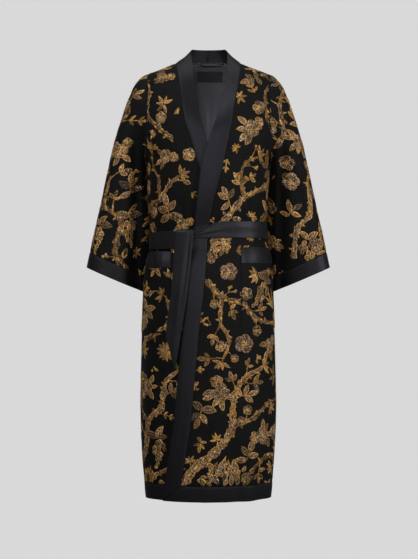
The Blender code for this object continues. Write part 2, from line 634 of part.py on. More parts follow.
def build():
    stations = {side: panel_stations(side) for side in ("left", "right", "back")}
    panels = {}
    for side, rows in (("left", LEFT_BAND), ("right", RIGHT_BAND)):
        panels[side] = front_grid(side, stations[side], 9, rows)
        cloth(side + "_front", panels[side], BROCADE_T, BROCADE)
        cloth(side + "_band", band_grid(side, rows, stations[side], 4), SATIN_T, SATIN)
        cloth(side + "_hem", hem_grid(side, rows, 2, 10), SATIN_T, SATIN)
    cloth("back", back_grid(stations["back"], (4, 6)), BROCADE_T, BROCADE)
    cloth("back_hem", hem_grid("back", None, 2, 15), SATIN_T, SATIN)

    ats = [0.0, 0.03, 0.06, 0.095, 0.14, 0.21, 0.30, 0.42, 0.58, 0.76, CUFF_AT - 0.0004]
    for side in ("left", "right"):
        cloth(side + "_sleeve", sleeve_rings(side, ats, 24), BROCADE_T, BROCADE, closed=True)
        cuff = sleeve_rings(side, [CUFF_AT + 0.0004, 1.0], 24)
        cloth(side + "_cuff", cuff, SATIN_T, SATIN, closed=True)

    low, high = len(SKIRT_Z) + 1, len(SKIRT_Z) + 4
    lift = BROCADE_T / 2 + GAP + POCKET_T / 2 + 0.3 * MM
    for p in POCKETS:
        inner = p.inner_x * MM
        cloth(p.side + "_pocket", pocket_grid(panels[p.side], (low, high), inner, lift, 0, GAP), POCKET_T, BROCADE)
        band = pocket_grid(panels[p.side], (high, high + 1), inner, lift + 0.2 * MM, GAP, 0)
        cloth(p.side + "_pocket_band", band, POCKET_T + 0.4 * MM, SATIN)

    cloth("belt", belt_grid(46, 3), BELT_T, SATIN)
    cloth("belt_end_front", tail_grid(FRONT_TAIL, TAIL_CUT, 3), BELT_T, SATIN)
    cloth("belt_end_back", tail_grid(BACK_TAIL, BACK_TAIL_CUT, 2), BELT_T, SATIN)

    # The knot: a soft block that the front end hangs over, from a coarse cage.
    mesh = bpy.data.meshes.new("belt_knot")
    cage = bmesh.new()
    bmesh.ops.create_cube(cage, size=1.0)
    bmesh.ops.scale(cage, verts=cage.verts, vec=KNOT_SIZE)
    bmesh.ops.rotate(cage, verts=cage.verts, matrix=Matrix.Rotation(KNOT_TURN, 3, "Z"))
    y = float(form_y(np.array(KNOT[0]), np.array(KNOT[1]), False)) - KNOT_OUT - KNOT_SIZE[1] / 2
    bmesh.ops.translate(cage, verts=cage.verts, vec=(KNOT[0], y, KNOT[1]))
    cage.to_mesh(mesh)
    cage.free()
    knot = place(bpy.data.objects.new("belt_knot", mesh), SATIN)
    soft = knot.modifiers.new("soft", "SUBSURF")
    soft.levels = soft.render_levels = 2
    crease = mesh.attributes.new("crease_edge", "FLOAT", "EDGE")
    crease.data.foreach_set("value", [0.5] * len(mesh.edges))

    # The lining of the back's shoulders, made from the back's points.
    grid = back_grid([s for s in stations["back"] if s >= LINING_LOW], (4, 6))
    grid[-1] += (grid[-2] - grid[-1]) * 0.3
    grid[:, 0] += (grid[:, 1] - grid[:, 0]) * 0.3
    grid[:, -1] += (grid[:, -2] - grid[:, -1]) * 0.3
    shift = -(BROCADE_T / 2 + GAP + LINING_T / 2 + 1.9 * MM)
    cloth("back_lining", moved_out(grid, np.full(grid.shape[:2], shift)), LINING_T, LINING)

    # A blank woven label and a small hanging loop inside the back neck.
    x = np.linspace(-LABEL_SIZE[0] / 2, LABEL_SIZE[0] / 2, 6) + 5 * MM
    z = np.linspace(-1.5 * MM, -1.5 * MM - LABEL_SIZE[1], 3)
    x, z = np.meshgrid(x, z)
    grid = np.stack([x, form_y(x, z, True), z], axis=2)
    cloth("label", moved_out(grid, np.full(grid.shape[:2], shift - LINING_T / 2 - GAP - 2.2 * MM)), 0.8 * MM, SATIN)

    data = bpy.data.curves.new("hanging_loop", "CURVE")
    data.dimensions = "3D"
    data.bevel_depth = 1.1 * MM
    data.bevel_resolution = 1
    data.use_fill_caps = True
    spline = data.splines.new("POLY")
    across = np.linspace(-1, 1, 9)
    spline.points.add(len(across) - 1)
    for p, t in zip(spline.points, across):
        x = 6 * MM + 15 * MM * t
        z = 11.5 * MM - 4.5 * MM * math.sqrt(max(0.0, 1 - t**4))
        y = float(form_y(np.array(x), np.array(8.0 * MM), True)) - 10.5 * MM
        p.co = (x, y, z, 1)
    place(bpy.data.objects.new("hanging_loop", data), LINING)


build()
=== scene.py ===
# Looks for the kimono coat. The cloth follows the same form and seam lines as the CAD solids, worked out again here
# on dense grids, with folds, rounded edges, stitching, and a raised brocade pattern of flowers and branches.

import math
from collections import namedtuple

import bpy
import numpy as np
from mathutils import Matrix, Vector
from mathutils.kdtree import KDTree


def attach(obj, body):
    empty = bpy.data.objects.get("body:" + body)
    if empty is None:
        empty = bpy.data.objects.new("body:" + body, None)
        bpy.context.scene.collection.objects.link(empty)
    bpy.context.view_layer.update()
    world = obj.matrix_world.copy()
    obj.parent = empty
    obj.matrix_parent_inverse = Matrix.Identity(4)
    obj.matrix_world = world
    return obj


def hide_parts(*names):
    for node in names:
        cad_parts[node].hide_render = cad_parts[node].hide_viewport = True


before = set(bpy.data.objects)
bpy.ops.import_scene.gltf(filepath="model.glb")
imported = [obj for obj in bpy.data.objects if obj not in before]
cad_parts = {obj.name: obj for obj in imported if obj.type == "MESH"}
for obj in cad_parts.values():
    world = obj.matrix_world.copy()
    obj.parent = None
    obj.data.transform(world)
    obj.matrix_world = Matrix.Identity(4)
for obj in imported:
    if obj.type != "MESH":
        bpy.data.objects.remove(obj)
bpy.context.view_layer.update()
MM = 0.001

# ================================================================ the coat's form, as in the CAD
HEM_Z = -1124 * MM
TRIM_H = 40 * MM
ARMPIT_Z = -246 * MM
ARCH_Z = -140 * MM
SHOULDER_Y = 8 * MM
ARMHOLE_EASE = 0.14
RING_POWER = 2.3
WAIST_Z = -446 * MM
SLANT = 14.5 * MM
WRAP = 3.0 * MM
NECK_BACK_Z = 16 * MM
SLEEVE_POWER = 2.6
CUFF_AT = 0.934
BROCADE_H = 0.6 * MM  # half the brocade's thickness here
SATIN_H = 1.0 * MM
POCKET_TRIM_H = 40 * MM
POCKET_SIDE = 8 * MM

BodyRow = namedtuple("BodyRow", "z half_width front back")
BODY = [BodyRow(*r) for r in (
    (-1124, 163.0, 110.0, 103.0), (-1085, 167.0, 112.0, 106.0), (-1020, 172.5, 115.0, 110.0), (-875, 176.5, 119.0, 115.0),
    (-731, 174.0, 121.0, 117.0), (-613, 169.5, 121.0, 116.0), (-540, 166.5, 118.0, 113.0), (-510, 162.5, 113.5, 109.0),
    (-484, 154.0, 105.0, 101.0), (-470, 149.5, 101.0, 97.0), (-446, 149.0, 100.5, 96.5), (-422, 149.5, 101.0, 96.5),
    (-408, 152.5, 105.0, 97.0), (-380, 156.0, 112.0, 98.5), (-325, 158.0, 121.0, 100.0), (-246, 158.0, 126.0, 104.0),
    (-180, 157.5, 124.0, 107.0), (-100, 157.5, 114.0, 105.0), (60, 157.5, 100.0, 98.0),
)]
ShoulderRow = namedtuple("ShoulderRow", "x z")
SHOULDER = [ShoulderRow(*r) for r in ((0, 39.0), (40, 32.0), (68, 17.0), (84.5, 6.9), (127.9, -10.5), (157, -21.0), (190, -34.0))]

BandRow = namedtuple("BandRow", "seam_x seam_z free_x free_y free_z on")
LEFT_BAND = [BandRow(*r) for r in (
    (0.0, 16.0, 0.0, 46.0, 49.5, 0), (30.0, 14.8, 20.0, 44.5, 49.5, 0), (60.0, 11.4, 37.0, 37.0, 49.0, 0),
    (78.0, 8.2, 45.8, 22.0, 46.5, 0), (84.5, 6.9, 49.2, 5.0, 34.5, 0), (82.3, -15.5, 49.6, -20.0, 10.0, 0),
    (80.4, -35.1, 48.5, -46.0, -13.0, 0), (76.2, -64.7, 45.0, -68.0, -43.0, 0), (71.4, -89.5, 39.5, -82.0, -78.0, 0.1),
    (64.8, -122.9, 28.5, -95.0, -123.0, 0.3), (60.0, -155.7, 17.8, -106.0, -157.0, 0.6), (51.9, -194.3, 5.5, -114.0, -196.0, 0.9),
    (43.9, -235.0, -9.5, -120.0, -238.0, 1), (32.9, -283.1, -20.5, 0.0, -285.0, 1), (20.5, -330.0, -26.0, 0.0, -331.0, 1),
    (9.3, -377.5, -30.5, 0.0, -377.5, 1), (-1.8, -455.0, -39.5, 0.0, -455.0, 1), (-6.5, -527.0, -46.5, 0.0, -527.0, 1),
    (-14.4, -611.1, -54.5, 0.0, -611.1, 1), (-22.5, -680.0, -63.0, 0.0, -680.0, 1), (-28.5, -749.8, -71.0, 0.0, -749.8, 1),
    (-34.8, -812.9, -77.5, 0.0, -812.9, 1), (-40.5, -880.0, -83.5, 0.0, -880.0, 1), (-48.0, -950.0, -91.0, 0.0, -950.0, 1),
    (-58.5, -1015.0, -101.0, 0.0, -1015.0, 1), (-68.5, -1075.0, -110.5, 0.0, -1075.0, 1), (-73.5, -1124.0, -115.5, 0.0, -1124.0, 1),
)]
RIGHT_BAND = [BandRow(*r) for r in (
    (0.0, 16.0, 0.0, 46.0, 49.5, 0), (29.0, 14.9, 19.5, 44.5, 49.5, 0), (58.0, 11.7, 35.5, 37.0, 49.0, 0),
    (77.0, 8.6, 43.2, 22.0, 46.5, 0), (84.5, 6.9, 45.0, 5.0, 34.5, 0), (80.0, -15.5, 42.0, -20.0, 10.0, 0),
    (76.8, -35.1, 39.0, -46.0, -13.0, 0), (72.2, -60.0, 36.0, -68.0, -42.0, 0), (67.6, -89.5, 31.5, -82.0, -77.0, 0.1),
    (63.5, -122.9, 24.5, -95.0, -120.0, 0.3), (58.7, -155.7, 17.4, -106.0, -156.0, 0.6), (46.0, -194.3, 8.0, -112.0, -196.0, 0.9),
    (33.3, -238.7, -6.0, -118.0, -240.0, 1), (20.7, -283.0, -20.0, 0.0, -285.0, 1), (9.0, -330.0, -32.0, 0.0, -331.0, 1),
    (0.0, -377.5, -41.0, 0.0, -377.5, 1), (-9.0, -455.0, -50.0, 0.0, -455.0, 1), (-14.0, -527.0, -55.0, 0.0, -527.0, 1),
    (-20.0, -611.1, -61.0, 0.0, -611.1, 1), (-26.0, -680.0, -67.5, 0.0, -680.0, 1), (-32.0, -749.8, -74.0, 0.0, -749.8, 1),
    (-37.0, -812.9, -79.5, 0.0, -812.9, 1), (-42.5, -880.0, -85.0, 0.0, -880.0, 1), (-49.0, -950.0, -92.0, 0.0, -950.0, 1),
    (-58.5, -1015.0, -101.0, 0.0, -1015.0, 1), (-67.5, -1075.0, -109.5, 0.0, -1075.0, 1), (-72.5, -1124.0, -114.5, 0.0, -1124.0, 1),
)]
BANDS = {"left": LEFT_BAND, "right": RIGHT_BAND}

SleeveRow = namedtuple("SleeveRow", "at outer_x outer_z inner_x inner_z half_depth inner_y")
SLEEVE = [SleeveRow(*r) for r in (
    (0.000, 158.4, -20.5, 159.8, -246.0, 60.0, 0.0), (0.025, 170.0, -26.2, 160.8, -254.0, 59.5, 22.0),
    (0.055, 185.5, -41.9, 160.4, -263.0, 59.0, 40.0), (0.085, 196.0, -57.6, 159.6, -271.0, 58.5, 50.0),
    (0.115, 202.5, -73.4, 159.0, -279.0, 58.0, 54.0), (0.150, 209.1, -89.1, 158.6, -289.0, 57.5, 55.0),
    (0.210, 219.6, -120.5, 158.0, -306.0, 56.5, 54.0), (0.280, 230.0, -152.0, 157.3, -327.0, 56.0, 53.0),
    (0.400, 247.0, -207.0, 155.9, -364.0, 55.0, 53.0), (0.550, 262.5, -275.0, 151.3, -414.0, 54.0, 55.0),
    (0.700, 279.8, -356.3, 151.5, -464.0, 52.5, 56.0), (0.850, 298.0, -440.0, 161.5, -518.0, 50.5, 55.0),
    (0.934, 309.0, -489.2, 166.0, -556.5, 49.0, 55.0), (1.000, 317.3, -528.2, 167.0, -594.0, 48.0, 55.0),
)]
FoldRow = namedtuple("FoldRow", "sleeve face x width depth")
SLEEVE_FOLDS = [FoldRow("left", "front", 193.0, 13.0, 15.0), FoldRow("left", "back", 196.0, 16.0, 10.0),
                FoldRow("right", "front", 189.0, 16.0, 19.0), FoldRow("right", "back", 194.0, 16.0, 10.0)]
PocketRow = namedtuple("PocketRow", "side top_z bottom_z inner_x")
POCKETS = [PocketRow("left", -478.0, -685.0, 83.0), PocketRow("right", -489.0, -696.0, 95.0)]
TailRow = namedtuple("TailRow", "z left right out")
FRONT_TAIL = [TailRow(*r) for r in (
    (-435.2, -80.0, -38.0, 12.5), (-434.3, -80.5, -37.5, 17.5), (-436.4, -81.0, -37.0, 22.4), (-442.5, -81.5, -37.0, 23.6),
    (-460.0, -83.5, -38.2, 24.2), (-488.0, -86.0, -41.0, 23.4), (-506.0, -87.5, -42.5, 17.0), (-535.0, -89.0, -45.8, 12.0),
    (-575.0, -93.0, -50.5, 10.2), (-618.0, -98.0, -56.0, 9.8), (-660.0, -104.0, -62.5, 9.8), (-704.0, -108.4, -69.7, 9.8),
    (-789.7, -117.0, -83.6, 9.8),
)]
TAIL_CUT = (-704 * MM, -789.7 * MM)
BACK_TAIL = [TailRow(*r) for r in ((-490.0, -80.0, -48.0, 7.0), (-535.0, -84.0, -52.0, 6.9), (-600.0, -91.0, -60.0, 6.9), (-670.0, -99.0, -70.0, 6.9))]
BACK_TAIL_CUT = (-625 * MM, -670 * MM)
CUT_FROM = -560 * MM


def curve_through(xs, ys):
    order = np.argsort(xs)
    xs, ys = np.asarray(xs, float)[order], np.asarray(ys, float)[order]
    step, slope = np.diff(xs), np.diff(ys) / np.diff(xs)
    tangent = np.concatenate([[slope[0]], np.zeros(len(xs) - 2), [slope[-1]]])
    for i in range(1, len(xs) - 1):
        a, b = slope[i - 1], slope[i]
        if a * b > 0:
            u, v = 2 * step[i] + step[i - 1], step[i] + 2 * step[i - 1]
            tangent[i] = (u + v) / (u / a + v / b)

    def value(x):
        x = np.asarray(x, float)
        i = np.clip(np.searchsorted(xs, x) - 1, 0, len(xs) - 2)
        t = np.clip((x - xs[i]) / step[i], 0, 1)
        return ((2 * t**3 - 3 * t**2 + 1) * ys[i] + (t**3 - 2 * t**2 + t) * step[i] * tangent[i]
                + (3 * t**2 - 2 * t**3) * ys[i + 1] + (t**3 - t**2) * step[i] * tangent[i + 1])

    return value


def column(rows, name, key="z"):
    return curve_through([getattr(r, key) * MM for r in rows], [getattr(r, name) * MM for r in rows])


def smooth(t):
    t = np.clip(t, 0, 1)
    return t * t * (3 - 2 * t)


def line_length(points):
    return np.concatenate([[0], np.cumsum(np.linalg.norm(np.diff(points, axis=0), axis=1))])


def at_lengths(points, at):
    along = line_length(points)
    return np.stack([np.interp(at, along, points[:, k]) for k in range(points.shape[1])], axis=1)


def normals_of(grid, closed=False):
    down = np.gradient(grid, axis=0)
    if closed:
        across = (np.roll(grid, -1, axis=1) - np.roll(grid, 1, axis=1)) / 2
    else:
        across = np.gradient(grid, axis=1)
    n = np.cross(down, across)
    return n / np.maximum(np.linalg.norm(n, axis=2, keepdims=True), 1e-12)


def outward(grid, closed=False, centre=(0, 0)):
    n = normals_of(grid, closed)
    away = grid.copy()
    away[..., 0] -= centre[0]
    away[..., 1] -= centre[1]
    away[..., 2] = 0
    return n * np.sign((away * n).sum())


half_width_at = column(BODY, "half_width")
front_at = column(BODY, "front")
back_at = column(BODY, "back")
crest_at = column(SHOULDER, "z", "x")
slant_sign = 1.0


def unslanted(x, z):
    return z - slant_sign * SLANT * np.tanh(x / 0.07) * np.exp(-(((z - WAIST_Z) / 0.09) ** 2))


def ring_width(x, z):
    above = np.clip((z - ARMPIT_Z) / 0.07, 0, 1)
    return half_width_at(unslanted(x, z)) * (1 + ARMHOLE_EASE * above * (2 - above))


def form_y(x, z, back):
    x, z = np.asarray(x, float), np.asarray(z, float)
    share = np.clip(np.abs(x) / ring_width(x, z), 0, 1)
    e = unslanted(x, z)
    y = (1 - share**RING_POWER) ** (1 / RING_POWER) * (back_at(e) if back else -front_at(e))
    rise = np.clip((z - ARCH_Z) / (crest_at(np.abs(x)) - ARCH_Z), 0, 1)
    return SHOULDER_Y + (y - SHOULDER_Y) * np.sqrt(1 - rise**2) if np.any(rise > 0) else y


NECK_X = LEFT_BAND[4].seam_x * MM


def neckline_z(x):
    return NECK_BACK_Z + (LEFT_BAND[4].seam_z * MM - NECK_BACK_Z) * np.clip(np.abs(x) / NECK_X, 0, 1) ** 2


def form_row(station, back, fine=1201, arm_in=0.0):
    """A line across the form from +X to -X, and the chart position of each point: arc length from the middle."""
    turn = np.linspace(math.pi / 2, -math.pi / 2, fine)
    s = np.sign(np.sin(turn)) * np.abs(np.sin(turn)) ** (2 / RING_POWER)
    c = np.abs(np.cos(turn)) ** (2 / RING_POWER)
    z = np.full(fine, min(ARCH_Z, ARCH_Z + station))
    x = s * 0.155
    for _ in range(3):
        x = s * ring_width(x, z)
    if station <= 0:
        e = unslanted(x, z)
        y = c * (back_at(e) if back else -front_at(e))
    else:
        crest = crest_at(np.abs(x))
        top = np.ones(fine)
        if back:
            top = np.clip((neckline_z(x) - ARCH_Z) / (crest - ARCH_Z), 0, 1)
            top = np.where(np.abs(x) < NECK_X, top, 1)
        angle = station * np.arcsin(top)
        z = ARCH_Z + (crest - ARCH_Z) * np.sin(angle)
        y = c * (back_at(z) if back else -front_at(z))
        y = SHOULDER_Y + (y - SHOULDER_Y) * np.cos(angle)
    points = np.stack([x, y, z], axis=1)
    along = line_length(points)
    middle = np.interp(0.0, -points[:, 0], along)
    points = np.column_stack([points, middle - along])
    if station > ARMPIT_Z - ARCH_Z:
        arm = half_width_at(z) - arm_in
        inside = np.abs(x) <= arm
        first, last = np.argmax(inside), len(x) - 1 - np.argmax(inside[::-1])
        ends = []
        for i, j in ((first - 1, first), (last + 1, last)):
            t = (arm[j] - abs(x[i])) / (abs(x[j]) - abs(x[i]))
            ends.append(points[i] + (points[j] - points[i]) * t)
        points = np.concatenate([[ends[0]], points[first:last + 1], [ends[1]]])
    return points


def cut_at(line, x_of_z, past=0.0):
    gap = line[:, 0] - x_of_z(line[:, 2]) + past
    i = int(np.argmax(gap < 0)) if (gap < 0).any() else len(line) - 1
    t = gap[i - 1] / (gap[i - 1] - gap[i]) if gap[i] != gap[i - 1] else 1.0
    end = line[i - 1] + (line[i] - line[i - 1]) * min(max(t, 0.0), 1.0)
    return np.concatenate([line[:i], [end]])


def overlap_shift(x, z, side):
    reach = smooth((0.150 - x) / 0.05) * smooth((-z - 0.10) / 0.10)
    return (WRAP if side == "left" else -WRAP) * reach


def seam_curve(rows):
    return curve_through([r.seam_z * MM for r in rows[4:]], [r.seam_x * MM for r in rows[4:]])


def free_curve(rows):
    return curve_through([r.free_z * MM for r in rows[12:]], [r.free_x * MM for r in rows[12:]])


# ================================================================ folds
# Soft troughs and ridges listed one by one for each panel. Ends and width in the panel's flat chart, mm; depth in mm is
# out of the cloth, and negative is a trough. The first end is (x0, z0).
Crease = namedtuple("Crease", "panel x0 z0 x1 z1 width depth")
CREASES = [Crease(*r) for r in (
    # left front, over: drawn in by the belt, both ways
    ("left_front", 40, -474, 52, -560, 7, -2.2), ("left_front", 62, -470, 70, -530, 6, 1.6), ("left_front", 88, -466, 92, -545, 8, -2.0),
    ("left_front", 118, -464, 124, -520, 9, 0.7), ("left_front", 150, -462, 152, -570, 13, -1.0), ("left_front", 188, -460, 192, -540, 11, -0.9),
    ("left_front", 214, -458, 216, -530, 7, 1.5), ("left_front", 16, -470, 22, -530, 5, 1.3),
    ("left_front", 46, -412, 62, -340, 7, -2.0), ("left_front", 76, -410, 96, -352, 7, 1.6), ("left_front", 108, -408, 132, -330, 8, -2.2),
    ("left_front", 150, -406, 168, -352, 7, 1.5), ("left_front", 186, -404, 204, -318, 9, -2.0),
    ("left_front", 60, -700, 74, -1085, 16, -3.4), ("left_front", 96, -640, 104, -1085, 20, 2.6), ("left_front", 142, -760, 138, -1085, 18, -3.6),
    ("left_front", 184, -690, 190, -1085, 22, 2.8), ("left_front", 220, -820, 222, -1085, 15, -2.6), ("left_front", 12, -840, -8, -1085, 13, 2.0),
    ("left_front", 168, -210, 112, -250, 10, -2.4), ("left_front", 176, -255, 130, -306, 9, -1.8), ("left_front", 150, -120, 122, -190, 13, -1.6),
    # right front, under
    ("right_front", -78, -496, -84, -560, 7, -1.8), ("right_front", -116, -494, -120, -560, 8, 1.5), ("right_front", -152, -494, -156, -590, 8, -2.2),
    ("right_front", -196, -492, -200, -560, 8, -1.8), ("right_front", -218, -490, -220, -550, 7, 1.4),
    ("right_front", -60, -434, -76, -360, 7, -2.0), ("right_front", -96, -436, -112, -372, 7, 1.7), ("right_front", -128, -438, -148, -350, 8, -2.3),
    ("right_front", -170, -440, -186, -370, 8, 1.4), ("right_front", -206, -440, -216, -350, 8, -1.8),
    ("right_front", -140, -700, -136, -1085, 18, -3.2), ("right_front", -178, -760, -184, -1085, 20, 2.6), ("right_front", -214, -700, -218, -1085, 16, -2.8),
    ("right_front", -168, -210, -116, -252, 10, -2.6), ("right_front", -176, -258, -134, -312, 9, -1.8), ("right_front", -150, -118, -124, -186, 13, -1.6),
    # back
    ("back", -190, -470, -196, -560, 8, -2.2), ("back", -150, -470, -154, -540, 7, 1.6), ("back", -104, -468, -112, -580, 9, -2.4),
    ("back", -62, -468, -64, -540, 7, 1.5), ("back", -18, -466, -16, -600, 9, -2.2), ("back", 34, -466, 38, -546, 7, 1.6),
    ("back", 72, -464, 80, -570, 8, -2.2), ("back", 126, -464, 130, -540, 8, 1.6), ("back", 176, -462, 184, -560, 8, -2.2),
    ("back", -186, -420, -170, -340, 8, -2.2), ("back", -138, -420, -120, -352, 8, 1.8), ("back", -88, -420, -70, -320, 9, -2.4),
    ("back", -36, -420, -30, -350, 8, 1.6), ("back", 14, -420, 12, -330, 9, -2.0), ("back", 66, -420, 52, -344, 8, 1.8),
    ("back", 112, -420, 92, -326, 9, -2.4), ("back", 160, -420, 142, -350, 8, 1.6), ("back", 202, -420, 192, -330, 8, -2.0),
    ("back", -170, -700, -176, -1085, 20, -3.4), ("back", -112, -640, -108, -1085, 22, 2.8), ("back", -52, -740, -60, -1085, 20, -3.6),
    ("back", 8, -660, 10, -1085, 24, 2.6), ("back", 70, -720, 66, -1085, 20, -3.6), ("back", 124, -650, 132, -1085, 22, 2.8),
    ("back", 182, -740, 186, -1085, 18, -3.2),
    ("back", -168, -200, -120, -250, 11, -2.6), ("back", 168, -200, 118, -246, 11, -2.6), ("back", -60, -70, -24, -190, 22, 1.6), ("back", 62, -74, 30, -180, 22, 1.6),
    # sleeves, front and back of each, drawn from the shoulder and lying in long soft falls
    ("left_sleeve", 176, -150, 236, -260, 12, -2.4), ("left_sleeve", 190, -250, 262, -430, 15, 2.6), ("left_sleeve", 236, -200, 284, -440, 13, -3.0),
    ("left_sleeve", 205, -330, 240, -520, 14, -2.6), ("left_sleeve", 168, -270, 186, -380, 9, 2.0), ("left_sleeve", 250, -380, 296, -500, 10, 1.6),
    ("left_sleeve_back", 174, -140, 226, -270, 14, -2.8), ("left_sleeve_back", 196, -250, 258, -450, 16, 2.8), ("left_sleeve_back", 228, -180, 280, -430, 13, -3.0),
    ("left_sleeve_back", 208, -340, 236, -530, 14, -2.6), ("left_sleeve_back", 254, -370, 292, -500, 10, 1.8),
    ("right_sleeve", 178, -140, 230, -270, 13, -2.8), ("right_sleeve", 196, -260, 256, -440, 15, 2.4), ("right_sleeve", 232, -190, 278, -420, 12, -2.6),
    ("right_sleeve", 212, -340, 250, -520, 15, -3.0), ("right_sleeve", 170, -280, 184, -400, 9, 2.0), ("right_sleeve", 262, -400, 298, -500, 10, 1.6),
    ("right_sleeve_back", 172, -150, 222, -280, 14, -2.8), ("right_sleeve_back", 200, -260, 262, -460, 16, 2.8), ("right_sleeve_back", 232, -180, 282, -420, 13, -3.0),
    ("right_sleeve_back", 206, -350, 240, -520, 14, -2.4), ("right_sleeve_back", 256, -380, 294, -500, 10, 1.8),
)]


def creased(chart, panel):
    """How far the folds move each point of a panel out of its plain surface."""
    out = np.zeros(chart.shape[:2])
    for i, f in enumerate(CREASES):
        if f.panel != panel:
            continue
        a, b = np.array([f.x0, f.z0]) * MM, np.array([f.x1, f.z1]) * MM
        d = b - a
        length = np.linalg.norm(d)
        rel = chart - a
        t = (rel @ d) / length**2
        bow = 0.05 * length * np.sin(np.clip(t, 0, 1) * math.pi) * (1 if i % 2 else -1)
        off = (rel[..., 0] * d[1] - rel[..., 1] * d[0]) / length - bow
        width = f.width * MM * (0.75 + 0.5 * np.clip(t, 0, 1))
        ends = smooth((t + 0.12) / 0.32) * (1 - smooth((t - 0.72) / 0.36)) if abs(f.z1 + 1085) > 1 else smooth((t + 0.1) / 0.7)
        out += f.depth * MM * ends * np.exp(-((off / width) ** 2))
    return out


# ================================================================ meshes
def mesh_object(name, verts, faces, uvs=None, materials=(), slots=None, smooth_shade=True):
    mesh = bpy.data.meshes.new(name)
    mesh.from_pydata(np.asarray(verts).tolist(), [], [tuple(f) for f in faces])
    if uvs is not None:
        layer = mesh.uv_layers.new(name="UVMap")
        loops = np.zeros(len(mesh.loops), dtype=np.int32)
        mesh.loops.foreach_get("vertex_index", loops)
        layer.data.foreach_set("uv", np.asarray(uvs, dtype=np.float32)[loops].ravel())
    for m in materials:
        mesh.materials.append(m)
    if slots is not None:
        mesh.polygons.foreach_set("material_index", np.asarray(slots, dtype=np.int32))
    if smooth_shade:
        mesh.shade_smooth()
    mesh.update()
    obj = bpy.data.objects.new(name, mesh)
    bpy.context.scene.collection.objects.link(obj)
    return obj


def slab(name, grid, normal, half, uv, mat, closed=False):
    """A closed piece of cloth round a middle surface. half is each point's half thickness."""
    rows, cols = grid.shape[:2]
    half = np.broadcast_to(half, (rows, cols))[..., None]
    outer, inner = grid + normal * half, grid - normal * half
    verts = np.concatenate([outer.reshape(-1, 3), inner.reshape(-1, 3)])
    idx = np.arange(rows * cols).reshape(rows, cols)
    nxt = np.roll(idx, -1, axis=1) if closed else idx[:, 1:]
    cur = idx if closed else idx[:, :-1]
    a, b, c, d = cur[:-1], nxt[:-1], nxt[1:], cur[1:]
    top = np.stack([a, b, c, d], axis=-1).reshape(-1, 4)
    n = rows * cols
    faces = [top, top[:, ::-1] + n]

    def rim(line, around):
        s, e = line[:-1], line[1:]
        if around:
            s, e = line, np.roll(line, -1)
        return np.stack([s, s + n, e + n, e], axis=-1)

    faces += [rim(idx[0], closed), rim(idx[-1], closed)[:, ::-1]]
    if not closed:
        faces += [rim(idx[:, 0], False)[:, ::-1], rim(idx[:, -1], False)]
    faces = np.concatenate(faces)
    # turn every face outward if the outer side's faces look inward
    q = verts[top[len(top) // 2]]
    if np.dot(np.cross(q[1] - q[0], q[2] - q[1]), normal.reshape(-1, 3)[top[len(top) // 2][0]]) < 0:
        faces = faces[:, ::-1]
    uvs = np.concatenate([uv.reshape(-1, 2), uv.reshape(-1, 2)])
    return mesh_object(name, verts, faces, uvs, [mat])


def edge_half(at, length, full, edge=0.35, reach=1.3 * MM, ends=(True, True)):
    """The half thickness across a piece whose edges are rounded."""
    near = np.minimum(at if ends[0] else 1.0, (length - at) if ends[1] else 1.0)
    t = np.clip(near / reach, 0, 1)
    return full * (edge + (1 - edge) * np.sqrt(1 - (1 - t) ** 2))


def spread(length, step, fine=(0.0, 0.5 * MM, 1.4 * MM)):
    """Distances along a line: close together at its ends, even between."""
    n = max(int(round((length - 2 * fine[-1]) / step)), 2)
    middle = np.linspace(fine[-1], length - fine[-1], n + 1)
    return np.concatenate([fine[:-1], middle, [length - f for f in fine[:-1][::-1]]])


def spread_n(length, n, fine=(0.0, 0.5 * MM, 1.4 * MM)):
    middle = np.linspace(fine[-1], length - fine[-1], n)
    return np.concatenate([fine[:-1], middle, [length - f for f in fine[:-1][::-1]]])


class Panel:
    """A panel's middle surface as a dense grid, its outward normals, and each point's place in the flat chart."""

    def __init__(self, name, grid, normal, chart, half, room):
        self.name, self.grid, self.normal, self.chart, self.half, self.room = name, grid, normal, chart, half, room
        self.rows, self.cols = grid.shape[:2]
        self.tree = KDTree(self.rows * self.cols)
        flat = chart.reshape(-1, 2)
        for i in range(len(flat)):
            self.tree.insert((flat[i, 0], flat[i, 1], 0), i)
        self.tree.balance()
        self.dr, self.dc = np.gradient(chart, axis=0), np.gradient(chart, axis=1)

    def place(self, points):
        """Chart points to space: places on the outer face, normals, and how far inside the visible edges each lies."""
        points = np.asarray(points, float)
        idx = np.array([self.tree.find((p[0], p[1], 0))[1] for p in points])
        r, c = idx // self.cols, idx % self.cols
        rel = points - self.chart[r, c]
        jr, jc = self.dr[r, c], self.dc[r, c]
        det = jr[:, 0] * jc[:, 1] - jr[:, 1] * jc[:, 0]
        det = np.where(np.abs(det) < 1e-12, 1e-12, det)
        fr = r + np.clip((rel[:, 0] * jc[:, 1] - rel[:, 1] * jc[:, 0]) / det, -3, 3)
        fc = c + np.clip((jr[:, 0] * rel[:, 1] - jr[:, 1] * rel[:, 0]) / det, -3, 3)
        kr, kc = np.clip(fr, 0, self.rows - 1.0001), np.clip(fc, 0, self.cols - 1.0001)
        inside = (np.abs(fr - kr) < 0.02) & (np.abs(fc - kc) < 0.02)
        r0, c0 = kr.astype(int), kc.astype(int)
        tr, tc = (kr - r0)[:, None], (kc - c0)[:, None]

        def mix(a):
            return (a[r0, c0] * (1 - tr) * (1 - tc) + a[r0 + 1, c0] * tr * (1 - tc)
                    + a[r0, c0 + 1] * (1 - tr) * tc + a[r0 + 1, c0 + 1] * tr * tc)

        n = mix(self.normal)
        n /= np.maximum(np.linalg.norm(n, axis=1, keepdims=True), 1e-9)
        base = mix(self.grid) + n * mix(self.half[..., None])
        room = np.where(inside, mix(self.room[..., None])[:, 0], -1.0)
        return base, n, room


